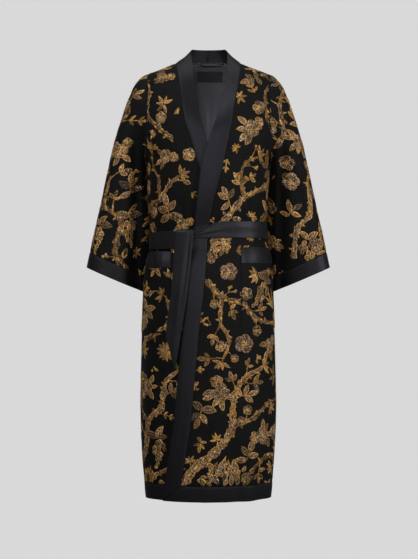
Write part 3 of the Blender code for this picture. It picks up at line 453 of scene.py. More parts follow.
# ================================================================ materials
def new_material(name):
    m = bpy.data.materials.new(name)
    m.use_nodes = True
    nt = m.node_tree
    return m, nt, nt.nodes["Principled BSDF"]


def node(nt, kind, inputs=None, **props):
    n = nt.nodes.new(kind)
    for k, v in props.items():
        setattr(n, k, v)
    for k, v in (inputs or {}).items():
        if isinstance(v, bpy.types.NodeSocket):
            nt.links.new(v, n.inputs[k])
        else:
            n.inputs[k].default_value = v
    return n


def math_node(nt, op, a, b=0.0, c=None, clamp=False):
    inputs = {0: a, 1: b}
    if c is not None:
        inputs[2] = c
    return node(nt, "ShaderNodeMath", inputs, operation=op, use_clamp=clamp).outputs[0]


def ramp(nt, fac, stops):
    n = node(nt, "ShaderNodeValToRGB", {"Fac": fac})
    els = n.color_ramp.elements
    while len(els) < len(stops):
        els.new(0.5)
    for e, (p, col) in zip(els, stops):
        e.position = p
        e.color = (*col, 1)
    return n.outputs["Color"]


def mix_colour(nt, fac, a, b, blend="MIX"):
    n = nt.nodes.new("ShaderNodeMix")
    n.data_type = "RGBA"
    n.blend_type = blend
    for key, v in ((0, fac), (6, a), (7, b)):
        if isinstance(v, bpy.types.NodeSocket):
            nt.links.new(v, n.inputs[key])
        elif key == 0:
            n.inputs[key].default_value = v
        else:
            n.inputs[key].default_value = (*v, 1) if len(v) == 3 else v
    return n.outputs[2]


def set_shader(shader, roughness=None, metallic=0.0, specular=0.5, sheen=0.0, sheen_rough=0.5, sheen_tint=(1, 1, 1), coat=0.0, anisotropic=0.0):
    if roughness is not None:
        shader.inputs["Roughness"].default_value = roughness
    shader.inputs["Metallic"].default_value = metallic
    shader.inputs["Specular IOR Level"].default_value = specular
    shader.inputs["Sheen Weight"].default_value = sheen
    shader.inputs["Sheen Roughness"].default_value = sheen_rough
    shader.inputs["Sheen Tint"].default_value = (*sheen_tint, 1)
    shader.inputs["Coat Weight"].default_value = coat
    shader.inputs["Anisotropic"].default_value = anisotropic


def uv_axes(nt, name="UVMap"):
    uv = node(nt, "ShaderNodeUVMap", uv_map=name)
    split = node(nt, "ShaderNodeSeparateXYZ", {0: uv.outputs[0]})
    return uv.outputs[0], split.outputs[0], split.outputs[1]


def satin_material(name, dark, light, rib=1400.0, stitch_at=None, width=None, roughness=0.42, sheen=0.04, bump=0.25, specular=0.3, stitch=(0.030, 0.029, 0.032), thread=0.00045):
    """Ribbed satin. UV is in metres, u across the band and v along it; stitch lines run at the given u."""
    m, nt, sh = new_material(name)
    uv, u, v = uv_axes(nt)
    ribs = math_node(nt, "SINE", math_node(nt, "MULTIPLY", v, rib * 2 * math.pi / 2))
    warp = math_node(nt, "SINE", math_node(nt, "MULTIPLY", u, 5200.0))
    cloud = node(nt, "ShaderNodeTexNoise", {"Vector": uv, "Scale": 22.0, "Detail": 4.0, "Roughness": 0.6})
    slub = node(nt, "ShaderNodeTexNoise", {"Vector": node(nt, "ShaderNodeMapping", {"Vector": uv, "Scale": (90.0, 1600.0, 1.0)}).outputs[0], "Scale": 1.0, "Detail": 2.0})
    base = mix_colour(nt, cloud.outputs[0], dark, light)
    base = mix_colour(nt, math_node(nt, "MULTIPLY", slub.outputs[0], 0.35), base, tuple(c * 1.7 for c in light))
    height = math_node(nt, "ADD", math_node(nt, "MULTIPLY", ribs, 0.5), math_node(nt, "MULTIPLY", warp, 0.2))
    height = math_node(nt, "ADD", height, math_node(nt, "MULTIPLY", slub.outputs[0], 0.6))
    if stitch_at:
        on = None
        for s in stitch_at:
            near = math_node(nt, "LESS_THAN", math_node(nt, "ABSOLUTE", math_node(nt, "SUBTRACT", u, s)), thread)
            on = near if on is None else math_node(nt, "MAXIMUM", on, near)
        dash = math_node(nt, "GREATER_THAN", math_node(nt, "FRACT", math_node(nt, "MULTIPLY", v, 310.0)), 0.26)
        on = math_node(nt, "MULTIPLY", on, dash)
        base = mix_colour(nt, on, base, stitch)
        groove = None
        for s in stitch_at:
            near = math_node(nt, "SUBTRACT", 1.0, math_node(nt, "MULTIPLY", math_node(nt, "ABSOLUTE", math_node(nt, "SUBTRACT", u, s)), 700.0), clamp=True)
            groove = near if groove is None else math_node(nt, "MAXIMUM", groove, near)
        height = math_node(nt, "SUBTRACT", height, math_node(nt, "MULTIPLY", groove, 2.2))
        height = math_node(nt, "ADD", height, math_node(nt, "MULTIPLY", on, 1.6))
    nt.links.new(base, sh.inputs["Base Color"])
    rough = node(nt, "ShaderNodeMapRange", {"Value": cloud.outputs[0], "To Min": roughness - 0.06, "To Max": roughness + 0.08})
    nt.links.new(rough.outputs[0], sh.inputs["Roughness"])
    b = node(nt, "ShaderNodeBump", {"Height": height, "Strength": bump, "Distance": 0.0003})
    nt.links.new(b.outputs[0], sh.inputs["Normal"])
    set_shader(sh, None, specular=specular, sheen=sheen, sheen_rough=0.35, sheen_tint=(0.88, 0.88, 1.0))
    sh.inputs["Specular Tint"].default_value = (0.86, 0.86, 1.0, 1)
    return m


def ground_material():
    """The brocade's black ground: a crepe weave with a faint blue cast and small flecks of thread."""
    m, nt, sh = new_material("brocade_ground")
    uv, u, v = uv_axes(nt)
    warp = math_node(nt, "SINE", math_node(nt, "MULTIPLY", u, 7000.0))
    weft = math_node(nt, "SINE", math_node(nt, "MULTIPLY", v, 6200.0))
    weave = math_node(nt, "MULTIPLY", warp, weft)
    crepe = node(nt, "ShaderNodeTexNoise", {"Vector": node(nt, "ShaderNodeMapping", {"Vector": uv, "Scale": (520.0, 330.0, 1.0)}).outputs[0], "Scale": 1.0, "Detail": 3.0, "Roughness": 0.65})
    pebble = node(nt, "ShaderNodeTexVoronoi", {"Vector": uv, "Scale": 480.0}, feature="F1")
    cloud = node(nt, "ShaderNodeTexNoise", {"Vector": uv, "Scale": 14.0, "Detail": 4.0})
    base = ramp(nt, crepe.outputs[0], [(0.30, (0.0030, 0.0029, 0.0029)), (0.52, (0.0080, 0.0078, 0.0078)), (0.72, (0.025, 0.0242, 0.0242))])
    base = mix_colour(nt, math_node(nt, "MULTIPLY", cloud.outputs[0], 0.35), base, (0.0095, 0.0088, 0.0082))
    nt.links.new(base, sh.inputs["Base Color"])
    height = math_node(nt, "ADD", math_node(nt, "MULTIPLY", weave, 0.3), math_node(nt, "MULTIPLY", crepe.outputs[0], 1.6))
    height = math_node(nt, "ADD", height, math_node(nt, "MULTIPLY", pebble.outputs[0], -0.8))
    b = node(nt, "ShaderNodeBump", {"Height": height, "Strength": 0.5, "Distance": 0.0005})
    nt.links.new(b.outputs[0], sh.inputs["Normal"])
    set_shader(sh, 0.62, specular=0.12, sheen=0.03, sheen_rough=0.4, sheen_tint=(0.75, 0.82, 1.0))
    return m


GROUND = ground_material()
BAND = satin_material("band_satin", (0.0084, 0.0083, 0.0098), (0.0150, 0.0148, 0.0174), stitch_at=(0.0028,))
BELT = satin_material("belt_satin", (0.0112, 0.0110, 0.0119), (0.0190, 0.0187, 0.0202), roughness=0.40)
HEM = satin_material("hem_satin", (0.0085, 0.0084, 0.0090), (0.0140, 0.0138, 0.0150), stitch_at=(0.0028,))
POCKET_SATIN = satin_material("pocket_satin", (0.0085, 0.0084, 0.0090), (0.0145, 0.0143, 0.0155), stitch_at=(0.0028,))
LINING = satin_material("lining_satin", (0.132, 0.127, 0.147), (0.172, 0.166, 0.192), rib=900.0, roughness=0.44, sheen=0.06, bump=0.12, specular=0.45)
LABEL = satin_material("label_weave", (0.0440, 0.0430, 0.0470), (0.0590, 0.0575, 0.0630), rib=2200.0, roughness=0.5, bump=0.3, stitch_at=(-0.0310, 0.0410), stitch=(0.42, 0.41, 0.42), thread=0.0008)
# the loop cord is black, and it is set darker than the other satins so that it also serves as painted shade of the gap
# between the collar and the lining
LOOP_AND_SHADE = satin_material("loop_cord_and_painted_shade", (0.0040, 0.0038, 0.0042), (0.0070, 0.0068, 0.0075), rib=1800.0, roughness=0.45)


# ================================================================ the pieces' surfaces
SEAM_TUCK = 3.0 * MM
POCKET_H = 0.55 * MM


def stations_for(low):
    zs = list(np.arange(low, -0.545, 0.0072)) + list(np.arange(-0.545, -0.350, 0.0046)) + list(np.arange(-0.350, -0.2475, 0.0066))
    zs += [-0.2468, -0.246, -0.2457, -0.245, -0.244, -0.2425, -0.2405, -0.238, -0.235, -0.2315, -0.227, -0.222, -0.216]
    zs += list(np.arange(-0.210, -0.1405, 0.0065)) + [-0.140]
    return [z - ARCH_Z for z in zs] + list(np.linspace(0, 1, 36)[1:])


def finish_chart(grid, arc, stations):
    """Chart coordinates: arc length from the middle across, height below the arch and length along the cloth above."""
    chart = np.zeros(grid.shape[:2] + (2,))
    chart[..., 0] = arc
    chart[..., 1] = np.array([min(s, 0) + ARCH_Z for s in stations])[:, None]
    first = next(i for i, s in enumerate(stations) if s > 0)
    for r in range(first, len(stations)):
        chart[r, :, 1] = chart[r - 1, :, 1] + np.linalg.norm(grid[r] - grid[r - 1], axis=1)
    return chart


def dip(room, depth, reach, under=1.1 * MM):
    """How far cloth sinks towards a seam. room is the distance inside the seam, negative where it lies under."""
    return depth * (1 - smooth(room / reach)) + under * smooth(-room / SEAM_TUCK)


def row_heights(grid, stations):
    """Distance of each row from the hem band's seam and from the shoulder."""
    steps = np.linalg.norm(np.diff(grid, axis=0), axis=2)
    down = np.concatenate([np.zeros((1, grid.shape[1])), np.cumsum(steps, axis=0)])
    return down - SEAM_TUCK, down[-1:] - down


def seam_hold(at_side, above_hem):
    """Near the hem, a fold dies out towards the side seam, where the front and the back are sewn to each other."""
    return 1 - (1 - smooth(at_side / (16 * MM))) * (1 - smooth((above_hem - 40 * MM) / (80 * MM)))


def front_panel(side):
    global slant_sign
    rows = BANDS[side]
    edge = seam_curve(rows)
    slant_sign = 1.0 if side == "left" else -1.0
    stations = stations_for(HEM_Z + TRIM_H - SEAM_TUCK)
    grid, arc, at_side, at_band = [], [], [], []
    for s in stations:
        line = cut_at(form_row(s, False), edge, past=SEAM_TUCK)
        along = line_length(line[:, :3])
        at = spread_n(along[-1], 64)
        grid.append(np.stack([np.interp(at, along, line[:, k]) for k in range(3)], axis=1))
        arc.append(np.interp(at, along, line[:, 3]))
        at_side.append(at)
        at_band.append(along[-1] - at - SEAM_TUCK)
    grid, arc, at_side, at_band = np.array(grid), np.array(arc), np.array(at_side), np.array(at_band)
    half = edge_half(at_side, 1.0, BROCADE_H, ends=(True, False))
    grid[..., 1] -= overlap_shift(grid[..., 0], grid[..., 2], side)
    chart = finish_chart(grid, arc, stations)
    slant_sign = 1.0
    sign = 1.0 if side == "left" else -1.0
    grid = grid * np.array([sign, 1, 1])
    chart = chart * np.array([sign, 1])
    above_hem, below_top = row_heights(grid, stations)
    half = half * (0.4 + 0.6 * np.clip(below_top / (1.5 * MM), 0, 1))
    move = creased(chart, side + "_front") * seam_hold(at_side, above_hem) - dip(at_band, 0.9 * MM, 6 * MM) - dip(above_hem, 0.9 * MM, 6 * MM)
    move -= 0.7 * MM * (1 - smooth(at_side / (5 * MM))) + 0.5 * MM * (1 - smooth(below_top / (5 * MM)))
    grid = grid + outward(grid) * move[..., None]
    room = np.minimum(np.minimum(at_band, at_side - 0.3 * MM), np.minimum(above_hem, below_top - 0.3 * MM))
    return Panel(side + "_front", grid, outward(grid), chart, half, room)


def back_panel():
    stations = stations_for(HEM_Z + TRIM_H - SEAM_TUCK)
    counts = (32, 46)
    grid, arc, at_side = [], [], []
    for s in stations:
        line = form_row(s, True)
        along = line_length(line[:, :3])
        i, j = np.argmax(line[:, 0] < NECK_X), np.argmax(line[:, 0] < -NECK_X)
        a, b, total = along[i], along[j], along[-1]
        at = np.concatenate([[0.0, 0.5 * MM], np.linspace(1.4 * MM, a, counts[0])[:-1], np.linspace(a, b, counts[1])[:-1],
                             np.linspace(b, total - 1.4 * MM, counts[0]), [total - 0.5 * MM, total]])
        grid.append(np.stack([np.interp(at, along, line[:, k]) for k in range(3)], axis=1))
        arc.append(np.interp(at, along, line[:, 3]))
        at_side.append(np.minimum(at, total - at))
    grid, arc, at_side = np.array(grid), np.array(arc), np.array(at_side)
    chart = finish_chart(grid, arc, stations)
    above_hem, below_top = row_heights(grid, stations)
    half = edge_half(at_side, 1.0, BROCADE_H, ends=(True, False)) * (0.4 + 0.6 * np.clip(below_top / (1.5 * MM), 0, 1))
    move = creased(chart, "back") * seam_hold(at_side, above_hem) - dip(above_hem, 0.9 * MM, 6 * MM)
    move -= 0.7 * MM * (1 - smooth(at_side / (5 * MM))) + 0.5 * MM * (1 - smooth(below_top / (5 * MM)))
    grid = grid + outward(grid) * move[..., None]
    room = np.minimum(np.minimum(at_side - 0.3 * MM, above_hem), below_top - 0.3 * MM)
    return Panel("back", grid, outward(grid), chart, half, room)


SLEEVE_VALUE = {n: curve_through([r.at for r in SLEEVE], [getattr(r, n) * MM for r in SLEEVE]) for n in SleeveRow._fields[1:]}


def sleeve_ring(side, at, fine=1441):
    value = SLEEVE_VALUE
    psi = np.linspace(0, 2 * math.pi, fine)
    cosine, sine = np.cos(psi), np.sin(psi)
    reach = np.sign(cosine) * np.abs(cosine) ** (2 / SLEEVE_POWER)
    bulge = np.sign(sine) * np.abs(sine) ** (2 / SLEEVE_POWER)
    arm_x = half_width_at(-0.1) - 0.05 * MM
    arm_z = (-0.021 + ARMPIT_Z) / 2 + (-0.021 - ARMPIT_Z) / 2 * cosine
    arm_y = np.where(sine >= 0, form_y(np.full(fine, arm_x), arm_z, False), form_y(np.full(fine, arm_x), arm_z, True))
    o = np.array([value["outer_x"](at), value["outer_z"](at)])
    i = np.array([value["inner_x"](at), value["inner_z"](at)])
    w = smooth(at / 0.30)
    along = (1 - w) * cosine + w * reach
    xz = (o + i) / 2 + (o - i)[None] / 2 * along[:, None]
    close = 1.2 * MM * (1 - smooth(at / 0.05))  # the armhole seam is close here
    y = (1 - w) * arm_y - w * value["half_depth"](at) * bulge + value["inner_y"](at) * ((1 - along) / 2) ** 2
    for f in SLEEVE_FOLDS:
        if f.sleeve == side:
            face = np.clip(sine if f.face == "front" else -sine, 0, 1) ** 0.5
            size = f.depth * MM * smooth((at - 0.08) / 0.35) * face
            y = y + (1 if f.face == "front" else -1) * size * np.exp(-(((xz[:, 0] - f.x * MM) / (f.width * MM)) ** 2))
    return np.stack([xz[:, 0] - close, y, xz[:, 1]], axis=1), o, (i - o) / np.linalg.norm(i - o)


HALF_COLS = 64


def beyond_fold(own, o, step):
    """The chart of a sleeve's back half: turned over along the fold, with the shoulder's rounding eased in next to it."""
    a, b = (np.array([SLEEVE_VALUE["outer_x"](at), SLEEVE_VALUE["outer_z"](at)]) for at in (0.115, 1.0))
    n = np.array([a[1] - b[1], b[0] - a[0]])
    n = n / np.linalg.norm(n)
    a = a + n * 5 * MM

    def over(p):
        return p - 2 * ((p - a) @ n)[..., None] * n

    return over(own) + (o - over(o)) * (1 - smooth(step / 0.08))[:, None]


def sleeve_surface(side, ats):
    """Closed rings of the sleeve with their charts. The front half comes first, from the outer fold to the inner seam.
    In the chart the back half is opened out beyond the fold."""
    rings, cf, cb = [], [], []
    for at in ats:
        ring, o, d = sleeve_ring(side, at)
        m = len(ring) // 2
        parts, chart = [], []
        for part, way in ((ring[:m + 1], 1), (ring[m:][::-1], -1)):
            along = line_length(part)
            step = np.linspace(0, along[-1], HALF_COLS)
            parts.append(np.stack([np.interp(step, along, part[:, k]) for k in range(3)], axis=1))
            own = o + d * step[:, None]
            chart.append((own, own if way > 0 else beyond_fold(own, o, step)))
        rings.append(np.concatenate([parts[0], parts[1][-2:0:-1]]))
        cf.append(chart[0][0])
        cb.append(chart[1])
    whole, cf = np.array(rings), np.array(cf)
    cb_own, cb_open = np.array([c[0] for c in cb]), np.array([c[1] for c in cb])
    mid = whole.mean(axis=1, keepdims=True)

    def normals():
        n = normals_of(whole, closed=True)
        return n * np.sign(((whole - mid) * n).sum())

    depth = np.concatenate([creased(cf, side + "_sleeve"), creased(cb_own, side + "_sleeve_back")[:, -2:0:-1]], axis=1)
    t = np.linspace(0, 1, HALF_COLS)
    edge = smooth(np.minimum(t, 1 - t) / 0.10)
    depth = depth * np.concatenate([edge, edge[-2:0:-1]]) * smooth(np.array(ats) / 0.08)[:, None]
    whole = whole + normals() * depth[..., None]
    n = normals()
    sign = np.array([1.0 if side == "left" else -1.0, 1, 1])
    flip = np.array([1.0 if side == "left" else -1.0, 1])
    open_chart = np.concatenate([cf, cb_open[:, -2:0:-1]], axis=1) * flip
    return whole * sign, n * sign, open_chart, cb_open[:, -1] * flip


def sleeve_piece(side):
    ats = np.array(list(np.linspace(0, 0.12, 24)) + list(np.linspace(0.12, CUFF_AT + 0.006, 94)[1:]))
    whole, n, chart, last = sleeve_surface(side, ats)
    along = np.concatenate([[0], np.cumsum(np.linalg.norm(np.diff(whole, axis=0), axis=2).mean(axis=1))])
    low = SEAM_TUCK + 1.0 * MM
    to_cuff = along[-1] - along - low
    move = -0.7 * MM * (1 - smooth(along / (5 * MM))) - dip(to_cuff, 0.9 * MM, 6 * MM)
    whole = whole + n * move[:, None, None]
    half = np.full(whole.shape[:2], BROCADE_H)
    # the panel runs from the back's inner seam over the fold to the front's inner seam
    order = np.concatenate([np.arange(HALF_COLS - 1, whole.shape[1]), np.arange(0, HALF_COLS)])
    open_chart = chart[:, order].copy()
    open_chart[:, 0] = last
    across = np.linalg.norm(np.diff(whole[:, order], axis=1), axis=2)
    across = np.concatenate([np.zeros((len(ats), 1)), np.cumsum(across, axis=1)], axis=1)
    from_seam = np.minimum(across, across[:, -1:] - across)
    room = np.minimum(np.minimum(along[:, None] - 0.3 * MM, to_cuff[:, None]), from_seam)
    panel = Panel(side + "_sleeve", whole[:, order], n[:, order], open_chart, half[:, order], room)
    whole, n, half, chart = tucked(whole, n, half, chart)
    return whole, n, half, chart, panel


def tucked(grid, normal, half, uv, depth=1.9 * MM, back=3.5 * MM):
    """One more ring ahead of the first, turned in under the neighbour like a seam allowance."""
    step = grid[0] - grid[1]
    step /= np.maximum(np.linalg.norm(step, axis=1, keepdims=True), 1e-9)
    extra = grid[0] - normal[0] * depth + step * back
    middle = grid[0] - normal[0] * depth * 0.45 + step * back * 0.25
    return (np.concatenate([[extra, middle], grid]), np.concatenate([[normal[0], normal[0]], normal]),
            np.concatenate([[half[0], half[0]], half]), np.concatenate([[uv[0], uv[0]], uv]))


def cuff_piece(side):
    ats = CUFF_AT + (1.0 - CUFF_AT) * np.array([0, 0.01, 0.03, 0.12, 0.25, 0.4, 0.55, 0.7, 0.85, 0.96, 0.985, 1.0])
    whole, n, chart, last = sleeve_surface(side, ats)
    height = np.concatenate([[0], np.cumsum(np.linalg.norm(np.diff(whole, axis=0), axis=2).mean(axis=1))])
    half = edge_half(height, height[-1], SATIN_H, edge=0.3, reach=0.5 * MM)[:, None]
    around = np.concatenate([np.zeros((len(ats), 1)), np.cumsum(np.linalg.norm(np.diff(whole, axis=1), axis=2), axis=1)], axis=1)
    ripple = 0.25 * MM * np.sin(around / 0.019 + 0.7) * np.sin(around / 0.031) * np.sin(height / height[-1] * math.pi)[:, None]
    whole = whole + n * (ripple - 0.3 * MM * (1 - smooth(height / (3 * MM)))[:, None])[..., None]
    uv = np.stack([np.broadcast_to(height[:, None], around.shape), around], axis=-1)
    return whole, n, half, uv


def band_surface(side, across):
    """The front band's middle surface: rows from the centre of the back neck to the mitre at the hem."""
    global slant_sign
    rows = BANDS[side]
    neck_rows, front_rows = rows[:5], rows[4:]
    neck = {n: curve_through([r.seam_x for r in neck_rows], [getattr(r, n) for r in neck_rows]) for n in BandRow._fields[2:]}
    lower = {n: curve_through([r.seam_z for r in front_rows], [getattr(r, n) for r in front_rows]) for n in BandRow._fields[2:]}
    edge, free_x = seam_curve(rows), free_curve(rows)
    slant_sign = 1.0 if side == "left" else -1.0
    top = form_row(1.0, True)[:, :3]
    i, j = np.argmax(top[:, 0] < NECK_X), np.argmax(top[:, 0] < 0)
    neck_line = top[i:j + 1][::-1]
    seams = [(p, neck, p[0]) for p in at_lengths(neck_line, np.concatenate([[0.0002, 0.0006, 0.0014], np.linspace(0.0035, line_length(neck_line)[-1], 25)]))]
    arch = [cut_at(form_row(s, False), edge)[-1][:3] for s in np.linspace(1, 0, 44)[1:]]
    seams += [(p, lower, p[2]) for p in arch]
    zs = np.concatenate([np.arange(-0.146, -0.985, -0.0055), np.linspace(-0.990, HEM_Z + TRIM_H, 18)])
    seams += [(np.array([float(edge(z)), float(form_y(edge(z), z, False)), z]), lower, z) for z in zs]
    grid = []
    for seam, field, key in seams:
        value = {n: float(f(key / MM)) for n, f in field.items()}
        free = np.array([value["free_x"], value["free_y"], value["free_z"]]) * MM
        width = np.linalg.norm(free - seam)
        c = spread_n(width, across, (0.0, 0.3 * MM, 1.0 * MM)) / width
        loose = seam + (free - seam) * c[:, None]
        x, z = loose[:, 0], loose[:, 2]
        start, low = -0.99, HEM_Z + TRIM_H * (1 - c)
        if seam[2] < start:
            z = start + (seam[2] - start) * (low - start) / (HEM_Z + TRIM_H - start)
            x = edge(z) + (free_x(z) - edge(z)) * c
        on = value["on"] if field is lower else 0.0
        lying = np.stack([x, form_y(x, z, False), z], axis=1)
        line = loose * (1 - on) + lying * on
        line[:, 1] -= overlap_shift(line[:, 0], line[:, 2], side) * (on if seam[2] > -0.3 else 1)
        grid.append(line)
    slant_sign = 1.0
    return np.array(grid)


# Long soft creases in the bands, each from one distance along to another and at a share of the width, mm.
BandCrease = namedtuple("BandCrease", "side start end share width depth")
BAND_CREASES = [BandCrease(*r) for r in (
    ("left", 150, 330, 0.45, 9, 0.5), ("left", 300, 470, 0.62, 7, -0.5), ("left", 500, 640, 0.30, 6, -0.7), ("left", 520, 700, 0.62, 7, 0.5),
    ("left", 700, 960, 0.45, 9, -0.5), ("left", 900, 1120, 0.66, 8, 0.5), ("left", 1040, 1230, 0.35, 7, -0.5),
    ("right", 150, 330, 0.5, 9, 0.5), ("right", 320, 470, 0.4, 7, -0.5), ("right", 540, 760, 0.55, 8, -0.5), ("right", 900, 1180, 0.5, 9, 0.4),
)]


def band_piece(side):
    grid = band_surface(side, 15)
    sign = np.array([1.0 if side == "left" else -1.0, 1, 1])
    grid[0, :, 0] = 0.005 * MM
    for _ in range(3):  # the band is one folded strip, so its run is even
        grid[1:-1] = grid[1:-1] * 0.5 + (grid[:-2] + grid[2:]) * 0.25
    n = normals_of(grid)
    n = n * np.sign((n * grid * np.array([1, 1, 0])).sum())
    width = np.linalg.norm(np.diff(grid, axis=1), axis=2)
    across = np.concatenate([np.zeros((len(grid), 1)), np.cumsum(width, axis=1)], axis=1)
    along = np.concatenate([[0], np.cumsum(np.linalg.norm(np.diff(grid[:, 7], axis=0), axis=1))])
    total = across[:, -1:]
    share = across / total
    half = edge_half(across, total, SATIN_H, edge=0.25, reach=0.5 * MM)
    half = half * (1 - 0.75 * np.exp(-((along / (1.5 * MM)) ** 2)))[:, None]  # the centre seam pulls both faces in
    move = 0.35 * MM * np.sin(share * math.pi)
    if side == "right":  # its turnings are pressed to this side
        half = half + 0.35 * MM * (np.exp(-(((along - 4.2 * MM) / (2.2 * MM)) ** 2)))[:, None] * np.sin(share * math.pi)
    move = move + 0.22 * MM * (np.sin(along / 0.017 + 1.0) * np.sin(along / 0.043))[:, None] * np.sin(share * math.pi)
    for f in BAND_CREASES:
        if f.side == side:
            t = (along / MM - f.start) / (f.end - f.start)
            ends = np.where((t > 0) & (t < 1), np.sin(np.clip(t, 0, 1) * math.pi), 0)[:, None]
            off = (share - f.share - 0.10 * np.sin(t * 3.0)[:, None]) * total / (f.width * MM)
            move = move + f.depth * MM * ends * np.exp(-(off**2))
    move = move - 0.3 * MM * (1 - np.clip(across / (2 * MM), 0, 1))
    grid = grid + n * move[..., None]
    uv = np.stack([across, np.broadcast_to(along[:, None], across.shape)], axis=-1)
    return grid * sign, n * sign, half, uv


def hem_piece(side):
    global slant_sign
    zs = HEM_Z + spread_n(TRIM_H, 9, (0.0, 0.4 * MM, 1.2 * MM))
    count = 84 if side == "back" else 52
    grid = []
    if side == "back":
        for z in zs:
            line = form_row(z - ARCH_Z, True)[:, :3]
            grid.append(at_lengths(line, spread_n(line_length(line)[-1], count)))
        grid = np.array(grid)
    else:
        rows = BANDS[side]
        seam, free = seam_curve(rows), free_curve(rows)
        slant_sign = 1.0 if side == "left" else -1.0

        def mitre(z):
            share = np.clip((HEM_Z + TRIM_H - z) / TRIM_H, 0, 1)
            return seam(z) * (1 - share) + free(z) * share

        for z in zs:
            line = cut_at(form_row(z - ARCH_Z, False)[:, :3], mitre)
            grid.append(at_lengths(line, spread_n(line_length(line)[-1] - 0.2 * MM, count)))
        grid = np.array(grid)
        grid[..., 1] -= overlap_shift(grid[..., 0], grid[..., 2], side)
        slant_sign = 1.0
    sign = np.array([-1.0 if side == "right" else 1.0, 1, 1])
    grid = grid * sign
    n = outward(grid)
    # the panel's lowest folds carry on into the hem
    arc = np.concatenate([np.zeros((len(zs), 1)), np.cumsum(np.linalg.norm(np.diff(grid, axis=1), axis=2), axis=1)], axis=1)
    if side == "back":
        chart_x = np.interp(0.0, -grid[0, :, 0], arc[0]) - arc
    else:
        full = np.array([np.abs(form_row(z - ARCH_Z, False)[0, 3]) for z in zs])
        chart_x = (full[:, None] - arc) * sign[0]
    chart = np.stack([chart_x, np.full(chart_x.shape, HEM_Z + TRIM_H)], axis=-1)
    total = arc[:, -1:]
    up = (zs - HEM_Z)[:, None]
    at_side = np.minimum(arc, total - arc) if side == "back" else arc
    move = creased(chart, "back" if side == "back" else side + "_front") * seam_hold(at_side, 0.0)
    move = move + 0.3 * MM * np.sin(up / TRIM_H * math.pi) - 0.3 * MM * (1 - smooth((TRIM_H - up) / (3 * MM)))
    move = move + 0.25 * MM * np.sin(arc / 0.021 + 0.4) * np.sin(arc / 0.037) * np.sin(up / TRIM_H * math.pi)
    move = move - 0.5 * MM * (1 - smooth(np.minimum(arc, total - arc if side == "back" else 1.0) / (4 * MM)))
    grid = grid + n * move[..., None]
    half = np.minimum(edge_half(arc, total, SATIN_H, edge=0.3, reach=0.5 * MM), edge_half(up, TRIM_H, SATIN_H, edge=0.3, reach=0.5 * MM))
    uv = np.stack([np.broadcast_to(TRIM_H - up, arc.shape), arc], axis=-1)
    return grid, outward(grid), half, uv


class Pocket:
    """A pocket as a four-sided patch of its front's chart. u runs from the side seam inwards and v up."""

    def __init__(self, row, panel):
        self.side, self.panel = row.side, panel
        sign = 1.0 if row.side == "left" else -1.0
        self.low, self.high = row.bottom_z * MM, row.top_z * MM
        outer, inner = [], []
        for z in (self.low, self.high):
            r = int(np.argmin(np.abs(panel.chart[:, 0, 1] - z)))
            big = np.abs(panel.chart[r, :, 0])
            outer.append(big.max() - POCKET_SIDE)
            inner.append(np.interp(row.inner_x * MM, np.abs(panel.grid[r, ::-1, 0]), big[::-1]))
        self.sign, self.outer, self.inner = sign, outer, float(np.mean(inner))

    def chart(self, u, v):
        """Chart points, for u from 0 at the side to 1 at the inner edge and v from 0 at the bottom to 1 at the top."""
        out = self.outer[0] + (self.outer[1] - self.outer[0]) * v
        return np.stack([self.sign * (out + (self.inner - out) * u), self.low + (self.high - self.low) * v], axis=-1)

    def inside(self, points):
        """How far chart points lie inside the pocket."""
        v = (points[:, 1] - self.low) / (self.high - self.low)
        out = self.outer[0] + (self.outer[1] - self.outer[0]) * np.clip(v, 0, 1)
        big = points[:, 0] * self.sign
        return np.minimum(np.minimum(out - big, big - self.inner), np.minimum(points[:, 1] - self.low, self.high - points[:, 1]))

    def lift(self, u, v):
        """How far the pocket stands off the front: sewn down at the sides and the bottom, a little open at the top."""
        sides = np.sin(np.clip(u, 0, 1) * math.pi)
        return 0.45 * MM + (0.5 * MM * smooth(v / 0.1) + 2.2 * MM * smooth((v - 0.55) / 0.45)) * sides**0.7 + 0.5 * MM * sides * np.sin(v * 7.0)

    def surface(self, v0, v1, rows, cols, half, extra=0.0):
        width, tall = self.outer[0] - self.inner, (self.high - self.low) * (v1 - v0)
        u = spread_n(width, cols, (0.0, 0.4 * MM, 1.1 * MM)) / width
        v = v0 + (v1 - v0) * spread_n(tall, rows, (0.0, 0.4 * MM, 1.1 * MM)) / tall
        uu, vv = np.meshgrid(u, v)
        chart = self.chart(uu, vv)
        base, n, room = self.panel.place(chart.reshape(-1, 2))
        lift = self.lift(uu, vv) + extra
        shape = uu.shape
        grid = base.reshape(shape + (3,)) + n.reshape(shape + (3,)) * (lift + half)[..., None]
        hw = np.minimum(edge_half(uu * width, width, half, edge=0.4, reach=0.5 * MM), edge_half((vv - v0) / (v1 - v0) * tall, tall, half, edge=0.4, reach=0.5 * MM))
        normal = normals_of(grid)
        normal *= np.sign((normal * n.reshape(shape + (3,))).sum())
        return grid, normal, hw, chart, uu * width, (vv - v0) / (v1 - v0) * tall


def hang_straight(grid, middle, top_z, low_z):
    """A belt end drops straight from the knot's front to where it meets the coat, and doesn't follow the waist."""
    crest = int(np.argmax(grid[:, middle, 2]))
    top = crest + int(np.argmax(grid[crest:, middle, 2] < top_z))
    low = crest + int(np.argmax(grid[crest:, middle, 2] < low_z))
    y = grid[..., 1].copy()
    for i in range(top, low):
        part = (grid[top, :, 2] - grid[i, :, 2]) / (grid[top, :, 2] - grid[low, :, 2])
        line = grid[top, :, 1] + (grid[low, :, 1] - grid[top, :, 1]) * part
        y[i] = np.minimum(line, form_y(grid[i, :, 0], grid[i, :, 2], False) - 9.0 * MM)
    for i in range(top, len(grid)):
        reach = min(i - top, len(grid) - 1 - i, 6)
        grid[i, :, 1] = y[i - reach:i + reach + 1].mean(axis=0)
    return grid


